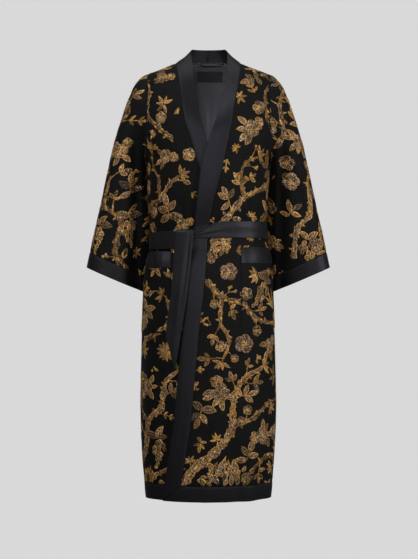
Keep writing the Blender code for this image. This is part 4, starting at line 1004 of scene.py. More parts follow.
def tail_surface(rows, cut, across, count, fold=None, hang=None):
    t = np.arange(len(rows), dtype=float)
    value = {n: curve_through(t, [getattr(r, n) * MM for r in rows]) for n in TailRow._fields}
    lying = rows[3:] if len(rows) > 4 else rows
    edge = {n: column(lying, n) for n in ("left", "right")}
    coarse = np.linspace(0, t[-1], 600)
    path = np.stack([value["z"](coarse), value["out"](coarse)], axis=1)
    at = np.interp(np.linspace(0, line_length(path)[-1], count), line_length(path), coarse)
    grid, along = [], []
    c = spread_n(0.044, across, (0.0, 0.3 * MM, 1.0 * MM)) / 0.044
    ends = cut[0] + (cut[1] - cut[0]) * c
    low = rows[-1].z * MM
    for k in at:
        z0 = float(value["z"](k))
        z = np.full(len(c), z0)
        left, right = np.full(len(c), float(value["left"](k))), np.full(len(c), float(value["right"](k)))
        if z0 < CUT_FROM:
            z = CUT_FROM + (z - CUT_FROM) * (ends - CUT_FROM) / (low - CUT_FROM)
            left, right = edge["left"](z), edge["right"](z)
        x = left + (right - left) * c
        grid.append(np.stack([x, form_y(x, z, False) - float(value["out"](k)), z], axis=1))
    grid = np.array(grid)
    if hang is not None:
        grid = hang_straight(grid, across // 2, *hang)
    n = normals_of(grid)
    forward = n[len(n) // 2:, :, 1].sum()
    n = n * -np.sign(forward)
    width = np.concatenate([np.zeros((len(grid), 1)), np.cumsum(np.linalg.norm(np.diff(grid, axis=1), axis=2), axis=1)], axis=1)
    along = np.concatenate([[0], np.cumsum(np.linalg.norm(np.diff(grid[:, across // 2], axis=0), axis=1))])
    total = width[:, -1:]
    share = width / total
    move = 0.3 * MM * np.sin(share * math.pi) + 0.5 * MM * np.sin(along / 0.06)[:, None] * np.cos(share * 3.0)
    if fold is not None:
        for f in fold:  # start, end, share, width, depth
            s = (along / MM - f[0]) / (f[1] - f[0])
            ends_ = np.where((s > 0) & (s < 1), np.sin(np.clip(s, 0, 1) * math.pi) ** 0.7, 0)[:, None]
            move = move + f[4] * MM * ends_ * np.exp(-((((share - f[2]) * total) / (f[3] * MM)) ** 2))
    grid = grid + n * move[..., None]
    half = np.minimum(edge_half(width, total, SATIN_H, edge=0.3, reach=0.5 * MM), edge_half(along, along[-1], SATIN_H, edge=0.4, reach=0.5 * MM)[:, None])
    uv = np.stack([width, np.broadcast_to(along[:, None], width.shape)], axis=-1)
    return grid, n, half, uv


BELT_ENDS = (-62.5 * MM, -51.5 * MM)
BELT_LIFT = (4.3 * MM, 3.2 * MM)
BELT_H = (44.5 * MM, 13.0 * MM)
PINCH_REACH = 95 * MM
BELT_LOW = -453.5 * MM
# The belt's creases, each from a distance before the knot to a further one, and across from v0 to v1, mm deep.
BeltCrease = namedtuple("BeltCrease", "start end v0 v1 width depth")
BELT_CREASES = [BeltCrease(*r) for r in (
    (-6, 92, 0.22, 0.13, 2.0, -3.6), (-6, 74, 0.42, 0.30, 1.8, -3.2), (-6, 60, 0.32, 0.21, 2.2, 2.4), (-6, 110, 0.58, 0.46, 3.4, 2.0),
    (-6, 58, 0.74, 0.66, 1.8, -2.4), (40, 190, 0.60, 0.78, 7.0, -0.8), (90, 260, 0.30, 0.36, 6.0, 0.7), (150, 330, 0.66, 0.52, 6.0, -0.7),
)]


def belt_surface(count, across):
    """The loop round the waist, from the knot over the wearer's right side and the back to the knot again."""
    front, behind = form_row(WAIST_Z - ARCH_Z, False)[:, :3], form_row(WAIST_Z - ARCH_Z, True)[:, :3]
    right = front[front[:, 0] < BELT_ENDS[0]]
    left = front[front[:, 0] > BELT_ENDS[1]]
    loop = np.concatenate([right, behind[::-1][1:], left[1:]])
    step = np.gradient(loop[:, :2], axis=0)
    out = np.stack([step[:, 1], -step[:, 0]], axis=1) / np.linalg.norm(step, axis=1)[:, None]
    out *= np.sign((out * loop[:, :2]).sum())
    x = loop[:, 0]
    in_front = loop[:, 1] < -0.03
    lift = BELT_LIFT[0] + BELT_LIFT[1] * smooth((x + 0.125) / 0.05) * smooth((0.15 - x) / 0.05) * in_front
    at_left = (np.arange(len(x)) > len(x) / 2) & in_front
    side = smooth((x - 0.085) / 0.055)
    opened = smooth((x - BELT_ENDS[1]) / PINCH_REACH) * (0.94 + 0.06 * side)
    opened = np.where(at_left, opened, 1.0)
    height = BELT_H[1] + (BELT_H[0] - BELT_H[1]) * opened
    slanted = WAIST_Z + SLANT * np.tanh(x / 0.07)
    middle_z = np.where(at_left, BELT_LOW + height / 2 + (slanted - BELT_LOW - height / 2) * side, slanted)
    middle = np.column_stack([loop[:, :2] + out * lift[:, None], middle_z])
    length = line_length(middle)
    at = np.linspace(0, length[-1], count) - 0.0
    line = at_lengths(middle, at)
    height = np.interp(at, length, height)
    normal2 = np.stack([np.interp(at, length, out[:, 0]), np.interp(at, length, out[:, 1]), np.zeros(count)], axis=1)
    normal2 /= np.linalg.norm(normal2, axis=1, keepdims=True)
    v = spread_n(BELT_H[0], across, (0.0, 0.3 * MM, 1.0 * MM)) / BELT_H[0]
    grid = np.repeat(line[:, None], len(v), axis=1)
    grid[..., 2] += height[:, None] * (0.5 - v)
    before = (length[-1] - at) / MM  # distance before the knot's left side
    move = 0.35 * MM * np.sin(v * math.pi)[None] + 0.35 * MM * (np.sin(at / 0.028) * np.sin(at / 0.047))[:, None] * np.cos(v * 2.5)[None]
    for f in BELT_CREASES:
        t = (before - f.start) / (f.end - f.start)
        ends = np.where((t > 0) & (t < 1), (1 - smooth((t - 0.25) / 0.75)) if f.start < 0 else np.sin(np.clip(t, 0, 1) * math.pi), 0)[:, None]
        at_v = (f.v0 + (f.v1 - f.v0) * t)[:, None]
        wide = f.width * MM / BELT_H[0] * (0.6 + 0.9 * np.clip(t, 0, 1))[:, None]
        move = move + f.depth * MM * ends * np.exp(-(((v[None] - at_v) / wide) ** 2))
    grid = grid + normal2[:, None] * move[..., None]
    n = normals_of(grid)
    n *= np.sign((n * normal2[:, None]).sum())
    half = np.broadcast_to(edge_half(v * BELT_H[0], BELT_H[0], SATIN_H, edge=0.3, reach=0.5 * MM)[None], grid.shape[:2])
    uv = np.stack([np.broadcast_to(v * BELT_H[0], half.shape), np.broadcast_to(at[:, None], half.shape)], axis=-1)
    return grid, n, half, uv


KNOT = (-60.5 * MM, -462.5 * MM)
KNOT_SIZE = (50 * MM, 11.5 * MM, 48 * MM)
KNOT_OUT = 9.7 * MM
KNOT_TURN = math.radians(-12.8)


def knot_mesh(around=56, along=40):
    """The knot: the belt wrapped once over itself, drawn tight, with soft ridges where the cloth bunches."""
    verts, uvs = [], []
    for i in range(along + 1):
        u = -1 + 2 * i / along
        cap = (1 - abs(u) ** 5) ** (1 / 2.6) if abs(u) < 1 else 0.0
        for j in range(around):
            a = 2 * math.pi * j / around
            cy, cz = math.cos(a), math.sin(a)
            y = np.sign(cy) * abs(cy) ** (2 / 2.8) * KNOT_SIZE[1] / 2
            z = np.sign(cz) * abs(cz) ** (2 / 2.8) * KNOT_SIZE[2] / 2
            ridge = 1 + cap * (0.055 * math.cos(7.0 * u + 1.1 * cz) + 0.03 * math.cos(15 * u - 0.6 + 1.4 * cy))
            x = u * KNOT_SIZE[0] / 2 * (1 - 0.04 * cz * cz)
            verts.append((x, y * max(cap, 0.05) * ridge, z * (0.35 + 0.65 * cap) * ridge * (0.96 + 0.03 * u)))
            uvs.append((x, a * 0.02))
    verts = np.array(verts)
    c, s = math.cos(KNOT_TURN), math.sin(KNOT_TURN)
    turned = np.stack([verts[:, 0] * c - verts[:, 1] * s, verts[:, 0] * s + verts[:, 1] * c, verts[:, 2]], axis=1)
    y = float(form_y(np.array(KNOT[0]), np.array(KNOT[1]), False)) - KNOT_OUT - KNOT_SIZE[1] / 2
    turned += np.array([KNOT[0], y, KNOT[1]])
    faces = []
    for i in range(along):
        for j in range(around):
            k = (j + 1) % around
            faces.append((i * around + j, i * around + k, (i + 1) * around + k, (i + 1) * around + j))
    faces.append(tuple(range(around))[::-1])
    faces.append(tuple(along * around + j for j in range(around)))
    return turned, faces, np.array(uvs)


def form_grid_back(first_row):
    stations = stations_for(HEM_Z + TRIM_H - SEAM_TUCK)[first_row:]
    rows = []
    for s in stations:
        line = form_row(s, True)[:, :3]
        total = line_length(line)[-1]
        rows.append(at_lengths(line, np.linspace(3 * MM, total - 3 * MM, 100)))
    grid = np.array(rows)
    grid[-1] += (grid[-2] - grid[-1]) * 0.4
    n = outward(grid)
    arc = np.concatenate([np.zeros((len(grid), 1)), np.cumsum(np.linalg.norm(np.diff(grid, axis=1), axis=2), axis=1)], axis=1)
    x = grid[..., 0]
    z = grid[..., 2]
    # easy folds down from the back neck, as the lining is cut with ease
    ease = 1.3 * MM * np.exp(-((x / 0.010) ** 2)) - 0.9 * MM * np.exp(-(((x - 0.022 - 0.05 * z) / 0.009) ** 2)) - 0.9 * MM * np.exp(-(((x + 0.026 + 0.03 * z) / 0.010) ** 2))
    ease = ease * smooth((-0.035 - z) / 0.06)
    grid = grid - n * (2.9 * MM - ease)[..., None]
    return grid


# ================================================================ small helpers for the build
def flat_area(grid, closed=False):
    """The area of a piece's middle surface, which is its cut's area, as cloth neither stretches nor shrinks."""
    a, b, c, d = grid[:-1, :-1], grid[:-1, 1:], grid[1:, 1:], grid[1:, :-1]
    area = np.linalg.norm(np.cross(c - a, d - b), axis=2).sum() / 2
    if closed:
        a, b, c, d = grid[:-1, -1], grid[:-1, 0], grid[1:, 0], grid[1:, -1]
        area += np.linalg.norm(np.cross(c - a, d - b), axis=1).sum() / 2
    return float(area)
# ================================================================ the brocade's woven pattern: flowering boughs
# Every figure is a set of patches drawn on a panel's flat chart in mm. A patch is a strip with a raised middle.
Patch = namedtuple("Patch", "grid lift slot tint half")
LEAF, PETAL, BARK, GOLD, BRONZE = range(5)


class Drawing:
    def __init__(self, seed):
        self.rng = np.random.default_rng(seed)
        self.patches = []
        self.taken = np.zeros((0, 2))

    def strip(self, path, half_width, lift, slot, across=5, crown=0.30):
        path = np.asarray(path, float)
        step = np.gradient(path, axis=0)
        step /= np.maximum(np.linalg.norm(step, axis=1, keepdims=True), 1e-9)
        side = np.stack([-step[:, 1], step[:, 0]], axis=1)
        u = np.sin(np.linspace(-1, 1, across) * math.pi / 2)
        w = np.maximum(half_width, 0.22)
        grid = path[:, None] + side[:, None] * (u[None, :, None] * w[:, None, None])
        rise = lift + self.rng.uniform(0, 0.07) + crown * (1 - u**2)[None] * np.sqrt(w / w.max())[:, None]
        self.patches.append(Patch(grid, rise, slot, self.rng.random(), w))
        self.taken = np.concatenate([self.taken, grid.reshape(-1, 2)])

    def free(self, x, z):
        """How far a point is from the nearest drawn one."""
        return float(np.sqrt(((self.taken - (x, z)) ** 2).sum(axis=1).min())) if len(self.taken) else 999.0

    def petal(self, x, z, angle, length, width, bend=0.0, lift=0.35, slot=LEAF, count=9, across=5, early=0.8, full=0.8, crown=0.30):
        """One leaf or petal. early below 1 is widest near its foot and above 1 near its tip; full is how blunt it is."""
        t = np.linspace(0, 1, count)
        way = angle + bend * (t - 0.3)
        step = np.stack([np.cos(way), np.sin(way)], axis=1) * length / (count - 1)
        path = np.array([x, z]) + np.concatenate([np.zeros((1, 2)), np.cumsum(step[:-1], axis=0)])
        self.strip(path, width / 2 * np.sin(math.pi * np.minimum(t, 1) ** early) ** full, lift, slot, across, crown)

    def bough(self, points, w0, w1, slot=BARK, lift=0.22, step=5.0):
        """A branch through the given points, with a knobbly outline. Returns its smooth path."""
        points = np.asarray(points, float)
        key = line_length(points)
        count = max(int(key[-1] / step), 5)
        at = np.linspace(0, key[-1], count)
        path = np.stack([curve_through(key, points[:, k])(at) for k in range(2)], axis=1)
        path += self.rng.normal(0, 0.5 + 0.03 * w0, path.shape) * np.sin(np.linspace(0, math.pi, count))[:, None]
        t = at / key[-1]
        w = (w0 + (w1 - w0) * t) / 2 * (1 + 0.13 * np.sin(at / 8.0 + self.rng.uniform(0, 6)) + 0.13 * self.rng.normal(0, 1, count))
        for knot in np.arange(self.rng.uniform(12, 30), key[-1] - 8, 34.0):
            w *= 1 + 0.34 * np.exp(-(((at - knot - self.rng.uniform(-8, 8)) / 5.5) ** 2))
        w *= np.minimum(1, (key[-1] - at) / 9 + 0.10) * np.minimum(1, at / 7 + 0.15)
        self.strip(path, w, lift, slot, across=5, crown=0.34)
        if w0 > 8:
            side = np.gradient(path, axis=0)
            side = np.stack([-side[:, 1], side[:, 0]], axis=1) / np.maximum(np.linalg.norm(side, axis=1), 1e-9)[:, None]
            for at_i in range(1, count - 2, 2 if w0 < 14 else 1):
                way = math.atan2(-side[at_i, 0], side[at_i, 1])
                for k in range(1):
                    foot = path[at_i] + side[at_i] * w[at_i] * self.rng.uniform(-0.62, 0.62)
                    self.petal(foot[0], foot[1], way + math.pi * int(self.rng.integers(2)) + self.rng.normal(0, 0.35), self.rng.uniform(8, 15), self.rng.uniform(4.0, 6.2), self.rng.normal(0, 0.3), lift + self.rng.uniform(0.14, 0.24), (LEAF, GOLD, BRONZE, BARK, BRONZE)[int(self.rng.integers(5))], count=6, early=0.9, full=0.5)
            for at_i in range(4, count - 4, 7):
                s = self.rng.choice((-1, 1))
                a = math.atan2(side[at_i, 1] * s, side[at_i, 0] * s) + self.rng.normal(0, 0.3)
                foot = path[at_i] + side[at_i] * s * w[at_i] * 0.6
                self.petal(foot[0], foot[1], a, self.rng.uniform(7, 13), max(w[at_i] * 0.8, 4.5), 0.0, lift + 0.05, slot, count=6, early=0.7, full=0.5)
        return path


def star(d, x, z, r, angle, count=6, fan=2 * math.pi, slot=LEAF):
    """Narrow leaves fanning out from one point."""
    for k in range(count):
        a = angle + fan * ((k + 0.5) / count - 0.5) + d.rng.normal(0, 0.10)
        length = r * d.rng.uniform(0.72, 1.0)
        foot = 0.06 * r
        d.petal(x + foot * math.cos(a), z + foot * math.sin(a), a, length, max(0.34 * length, 5.0), d.rng.normal(0, 0.25), 0.34, slot, count=8, early=0.85, full=0.85)


def spray(d, x, z, angle, length, pairs=3, slot=LEAF):
    """A thin stem with leaves in pairs and one at its tip."""
    bend = d.rng.normal(0, 0.35)
    t = np.linspace(0, 1, 8)
    way = angle + bend * t
    path = np.array([x, z]) + np.concatenate([np.zeros((1, 2)), np.cumsum(np.stack([np.cos(way), np.sin(way)], axis=1)[:-1] * length * 0.8 / 7, axis=0)])
    d.strip(path, np.linspace(1.7, 1.0, 8), 0.26, BARK, across=3)
    for k in range(pairs):
        i = int(round(1 + k * 5.2 / max(pairs - 1, 1)))
        size = length * (0.46 - 0.08 * k / max(pairs - 1, 1))
        for s in (1, -1):
            d.petal(path[i, 0], path[i, 1], way[i] + s * d.rng.uniform(0.75, 1.05), size, size * 0.40, -s * 0.4, 0.36, slot, count=8)
    d.petal(path[-1, 0], path[-1, 1], way[-1], length * 0.42, length * 0.19, 0.0, 0.38, slot, count=8)


def blossom(d, x, z, r, angle):
    """An open flower of five round petals with its stamens."""
    for k in range(5):
        a = angle + 2 * math.pi * k / 5 + d.rng.normal(0, 0.06)
        d.petal(x + 0.10 * r * math.cos(a), z + 0.10 * r * math.sin(a), a, 0.86 * r, 0.86 * r, 0.0, 0.44, PETAL, count=9, early=1.35, full=0.55)
    for k in range(6):
        a = angle + 2 * math.pi * (k + 0.5) / 6
        d.petal(x + 0.04 * r * math.cos(a), z + 0.04 * r * math.sin(a), a, 0.34 * r, 0.11 * r, 0.0, 0.74, GOLD, count=5, across=3)
    d.petal(x - 0.12 * r, z, 0.0, 0.24 * r, 0.24 * r, 0.0, 0.84, GOLD, count=5, across=3, full=0.5, early=1.0)


def leaves(d, x, z, size, angle, count=4):
    """A short twig with broad pointed leaves."""
    bend = d.rng.normal(0, 0.3)
    t = np.linspace(0, 1, 6)
    way = angle + bend * t
    path = np.array([x, z]) + np.concatenate([np.zeros((1, 2)), np.cumsum(np.stack([np.cos(way), np.sin(way)], axis=1)[:-1] * size * 0.13, axis=0)])
    d.strip(path, np.linspace(1.9, 1.1, 6), 0.26, BARK, across=3)
    turns = [0.0, 0.95, -0.95, 2.0, -2.0, 0.5][:count]
    for k, off in enumerate(turns):
        i = 5 if k == 0 else (3 if k < 3 else 1)
        length = size * d.rng.uniform(0.66, 0.86)
        d.petal(path[i, 0], path[i, 1], way[i] + off + d.rng.normal(0, 0.15), length, length * d.rng.uniform(0.44, 0.56), -off * 0.25, 0.34 + 0.04 * (k == 0),
                BRONZE if d.rng.random() < 0.12 else LEAF, count=10, across=7, early=0.85, full=0.75)


def peony(d, x, z, r, angle):
    """Two full flowers side by side, each with rings of round petals, over a few broad leaves that point away."""
    count = int(d.rng.integers(3, 6))
    for k in range(count):
        a = angle + math.pi + (k - (count - 1) / 2) * d.rng.uniform(0.62, 0.9) + d.rng.normal(0, 0.15)
        length = r * d.rng.uniform(0.52, 0.80)
        foot = r * d.rng.uniform(0.34, 0.50)
        px, pz = x + foot * math.cos(a), z + foot * math.sin(a)
        d.petal(px, pz, a + d.rng.normal(0, 0.35), length, length * d.rng.uniform(0.46, 0.58), d.rng.normal(0, 0.4), 0.28, LEAF, count=10, across=7)
    side = angle + d.rng.uniform(-0.7, 0.7)
    spread_out = r * d.rng.uniform(0.60, 0.72)
    blooms = ((x + spread_out * math.cos(side), z + spread_out * math.sin(side), r * 0.44), (x, z, r * 0.62))
    for which, (cx, cz, rr) in enumerate(blooms):
        flat = d.rng.uniform(0, math.pi)
        for ring, (petals, foot, length, width, lift) in enumerate(((6, 0.26, 0.74, 0.80, 0.40), (5, 0.06, 0.62, 0.62, 0.60))):
            turn = d.rng.uniform(0, 6)
            for k in range(petals):
                a = turn + 2 * math.pi * k / petals + d.rng.normal(0, 0.14)
                size = d.rng.uniform(0.84, 1.14) * (1 - 0.20 * math.sin(a - flat) ** 2)
                d.petal(cx + foot * rr * math.cos(a), cz + foot * rr * math.sin(a), a, length * rr * size, max(width * rr * size, 4.5), d.rng.normal(0, 0.2), lift + 0.08 * which, PETAL if (k + ring) % 4 else GOLD, count=8, early=1.5, full=0.42)
        d.petal(cx - 0.13 * rr, cz, 0.0, 0.26 * rr, 0.26 * rr, 0.0, 0.85, GOLD, count=5, across=3, full=0.5, early=1.0)


def daisy(d, x, z, r, angle):
    """A flower of many narrow petals in two rings."""
    for count, foot, length, width, lift in ((13, 0.24, 0.74, 0.24, 0.42), (9, 0.10, 0.46, 0.20, 0.60)):
        for k in range(count):
            a = angle + 2 * math.pi * (k + 0.5 * (count == 9)) / count + d.rng.normal(0, 0.05)
            d.petal(x + foot * r * math.cos(a), z + foot * r * math.sin(a), a, length * r * d.rng.uniform(0.86, 1.04), width * r, 0.0, lift, PETAL, count=8, across=5, early=1.25, full=0.6)
    d.petal(x - 0.15 * r, z, 0.0, 0.30 * r, 0.30 * r, 0.0, 0.80, GOLD, count=6, across=5, full=0.5, early=1.0)


def bud(d, x, z, angle, size):
    d.petal(x, z, angle, size, size * 0.62, 0.0, 0.42, PETAL, count=8, early=0.95, full=0.6)
    for s in (1, -1):
        d.petal(x, z, angle + s * 0.55, size * 0.62, size * 0.22, -s * 0.5, 0.56, LEAF, count=6, across=3)


def berries(d, x, z, angle, count):
    for k in range(count):
        a = angle + d.rng.uniform(-0.7, 0.7)
        far = d.rng.uniform(9, 20)
        bx, bz = x + far * math.cos(a), z + far * math.sin(a)
        d.strip([(x, z), (x + (bx - x) * 0.5, z + (bz - z) * 0.5), (bx, bz)], np.full(3, 0.8), 0.26, BARK, across=3)
        d.petal(bx - 3, bz, 0.0, 6.5, 6.5, 0.0, 0.42, GOLD, count=6, across=5, full=0.5, early=1.0, crown=0.5)


def raceme(d, x, z, angle, length, width):
    """A hanging cluster of small round flowers, broad at its top and pointed at its end, under a pair of leaves."""
    for off in (2.4, -2.2, 1.5):
        size = width * d.rng.uniform(0.75, 1.0)
        d.petal(x, z, angle + off, size, size * 0.48, -off * 0.2, 0.30, LEAF, count=9, across=7)
    rows = max(int(length / 10.5), 5)
    sway = d.rng.normal(0, 0.25)
    for i in range(rows - 1, -1, -1):
        t = (i + 0.5) / rows
        way = angle + sway * (t - 0.3)
        cx, cz = x + t * length * math.cos(way), z + t * length * math.sin(way)
        wide = width * (0.30 + 0.70 * min(t / 0.22, 1)) * (1 - max(t - 0.22, 0) / 0.80) ** 0.75
        count = max(int(round(wide / 12.0)), 1)
        for k in range(count):
            off = ((k + 0.5) / count - 0.5) * wide + d.rng.normal(0, 0.8)
            px, pz = cx - off * math.sin(way), cz + off * math.cos(way)
            size = d.rng.uniform(14.5, 18.5) * (1 - 0.3 * t)
            d.petal(px, pz, way + off / width * 1.3 + d.rng.normal(0, 0.2), size, size * 0.80, 0.0, 0.40 + 0.12 * (k % 2) + 0.20 * (1 - t), (GOLD, PETAL, PETAL)[int(d.rng.integers(3))], count=7, across=5, early=1.25, full=0.5, crown=0.30)


def mound(d, x, z, width, high):
    """A bank of overlapping tufts at the foot of a tree, with a few blades and leaves over it."""
    for k in range(5):
        a = math.pi / 2 + (k - 2) * 0.32 + d.rng.normal(0, 0.1)
        size = high * d.rng.uniform(0.8, 1.25)
        px = x + (k - 2) * width * 0.16
        d.petal(px, z + high * 0.35, a, size, max(size * 0.22, 7), d.rng.normal(0, 0.4), 0.28, LEAF if k % 2 else PETAL, count=10)
    rows = max(int(high / 10.0), 3)
    for i in range(rows - 1, -1, -1):
        t = i / rows
        wide = width * math.sqrt(max(1 - t * t, 0.05)) * d.rng.uniform(0.85, 1.0)
        count = max(int(wide / 15.0), 2)
        for k in range(count):
            px = x + ((k + 0.5 + 0.5 * (i % 2)) / count - 0.5) * wide + d.rng.normal(0, 1.5)
            pz = z + t * high + d.rng.normal(0, 1.5)
            size = d.rng.uniform(17, 27)
            d.petal(px, pz, math.pi / 2 + (px - x) / width * -2.2 + d.rng.normal(0, 0.4), size, size * 0.52, d.rng.normal(0, 0.3), 0.60 - 0.25 * t, (GOLD, LEAF, LEAF, PETAL, BRONZE)[int(d.rng.integers(5))], count=8, across=5, early=0.95, full=0.7)


def blades(d, x, z, angle, length, count=5):
    """A bundle of long curved blades."""
    for k in range(count):
        a = angle + (k - (count - 1) / 2) * 0.24 + d.rng.normal(0, 0.06)
        size = length * d.rng.uniform(0.55, 1.0)
        d.petal(x, z, a, size, max(size * 0.11, 5.4), d.rng.normal(0, 0.25) + (k - (count - 1) / 2) * 0.28, 0.30 + 0.05 * (k % 3), (PETAL, GOLD, LEAF)[k % 3], count=12, early=0.9, full=0.6)


def head(d, kind, x, z, size, angle):
    if kind == "peony":
        peony(d, x, z, size, angle)
    elif kind == "daisy":
        daisy(d, x, z, size, angle)
    elif kind == "blossom":
        blossom(d, x, z, size, angle)
    elif kind == "star":
        star(d, x, z, size, angle, count=int(d.rng.integers(5, 8)), fan=d.rng.uniform(3.4, 6.0))
    elif kind == "spray":
        spray(d, x - 0.5 * size * math.cos(angle), z - 0.5 * size * math.sin(angle), angle, size * 1.5, pairs=2 if size < 26 else 3)
    elif kind == "bud":
        bud(d, x - 0.5 * size * math.cos(angle), z - 0.5 * size * math.sin(angle), angle, size)
    elif kind == "berries":
        berries(d, x, z, angle, int(d.rng.integers(3, 6)))
    elif kind == "raceme":
        raceme(d, x, z, angle, min(size, 74), min(size, 74) * 0.52)
    elif kind == "mound":
        mound(d, x, z, size, size * 0.42)
    elif kind == "leaves":
        leaves(d, x - 0.4 * size * math.cos(angle), z - 0.4 * size * math.sin(angle), size, angle, int(d.rng.integers(3, 6)))
    elif kind == "blades":
        blades(d, x, z, angle, size, int(d.rng.integers(4, 7)))


def dressed_bough(d, points, w0, w1, side=1):
    """A branch with twigs on alternate sides, each ending in a small figure where there is room."""
    path = d.bough(points, w0, w1)
    along = line_length(path)
    at = 14.0
    while at < along[-1] - 6:
        i = int(np.searchsorted(along, at))
        step = path[min(i + 1, len(path) - 1)] - path[i - 1]
        way = math.atan2(step[1], step[0]) + side * d.rng.uniform(0.7, 1.15)
        reach = d.rng.uniform(13, 26)
        ex, ez = path[i, 0] + reach * math.cos(way), path[i, 1] + reach * math.sin(way)
        size = d.rng.uniform(17, 30)
        cx, cz = ex + 0.6 * size * math.cos(way), ez + 0.6 * size * math.sin(way)
        room = d.free(cx, cz)
        if room > 0.55 * size:
            d.bough([path[i], ((path[i, 0] + ex) / 2, (path[i, 1] + ez) / 2 + d.rng.normal(0, 1.5)), (ex, ez)], max(w1 * 0.55, 3.6), 2.4, lift=0.24, step=4.0)
            kind = d.rng.choice(["star", "spray", "blossom", "bud", "berries", "leaf"], p=[0.22, 0.10, 0.26, 0.06, 0.06, 0.30])
            if kind == "leaf":
                leaves(d, ex, ez, size * 1.25, way, int(d.rng.integers(3, 5)))
            elif kind == "blossom":
                blossom(d, ex + 0.5 * size * math.cos(way), ez + 0.5 * size * math.sin(way), size * 0.62, way)
            elif kind == "spray":
                spray(d, ex, ez, way, size * 1.5, 2)
            elif kind == "bud":
                bud(d, ex, ez, way, size)
            elif kind == "berries":
                berries(d, ex, ez, way, 4)
            else:
                star(d, ex, ez, size, way, 5, 3.6)
        side = -side
        at += d.rng.uniform(17, 30)
    step = path[-1] - path[-3]
    way = math.atan2(step[1], step[0])
    if d.free(path[-1, 0] + 16 * math.cos(way), path[-1, 1] + 16 * math.sin(way)) > 7:
        star(d, path[-1, 0], path[-1, 1], 26, way, 5, 3.2)


def fill(d, spots, target):
    """More figures, placed where there is room, until the pattern covers its share of the panel."""
    def covered():
        cells = set(map(tuple, np.round(d.taken / 4.0).astype(int).tolist()))
        at = np.round(spots / 4.0).astype(int).tolist()
        return sum((a, b) in cells or (a + 1, b) in cells and (a - 1, b) in cells for a, b in at) / len(at)

    for attempt in range(700):
        if attempt % 20 == 0 and covered() >= target:
            break
        x, z = spots[d.rng.integers(len(spots))] + d.rng.uniform(-4, 4, 2)
        room = d.free(x, z) - 3
        angle = d.rng.uniform(0, 2 * math.pi)
        if room > 50:
            head(d, str(d.rng.choice(["peony", "peony", "leaves"])), x, z, d.rng.uniform(34, 44), angle)
        elif room > 33:
            head(d, str(d.rng.choice(["peony", "leaves", "spray", "leaves", "blossom"])), x, z, d.rng.uniform(25, 32), angle)
        elif room > 21:
            head(d, str(d.rng.choice(["leaves", "spray", "blossom", "star"])), x, z, d.rng.uniform(18, 22), angle)
        elif room > 14 and d.rng.random() < 0.45:
            head(d, str(d.rng.choice(["star", "leaves", "berries"])), x, z, d.rng.uniform(13, 16), angle)
    return covered()


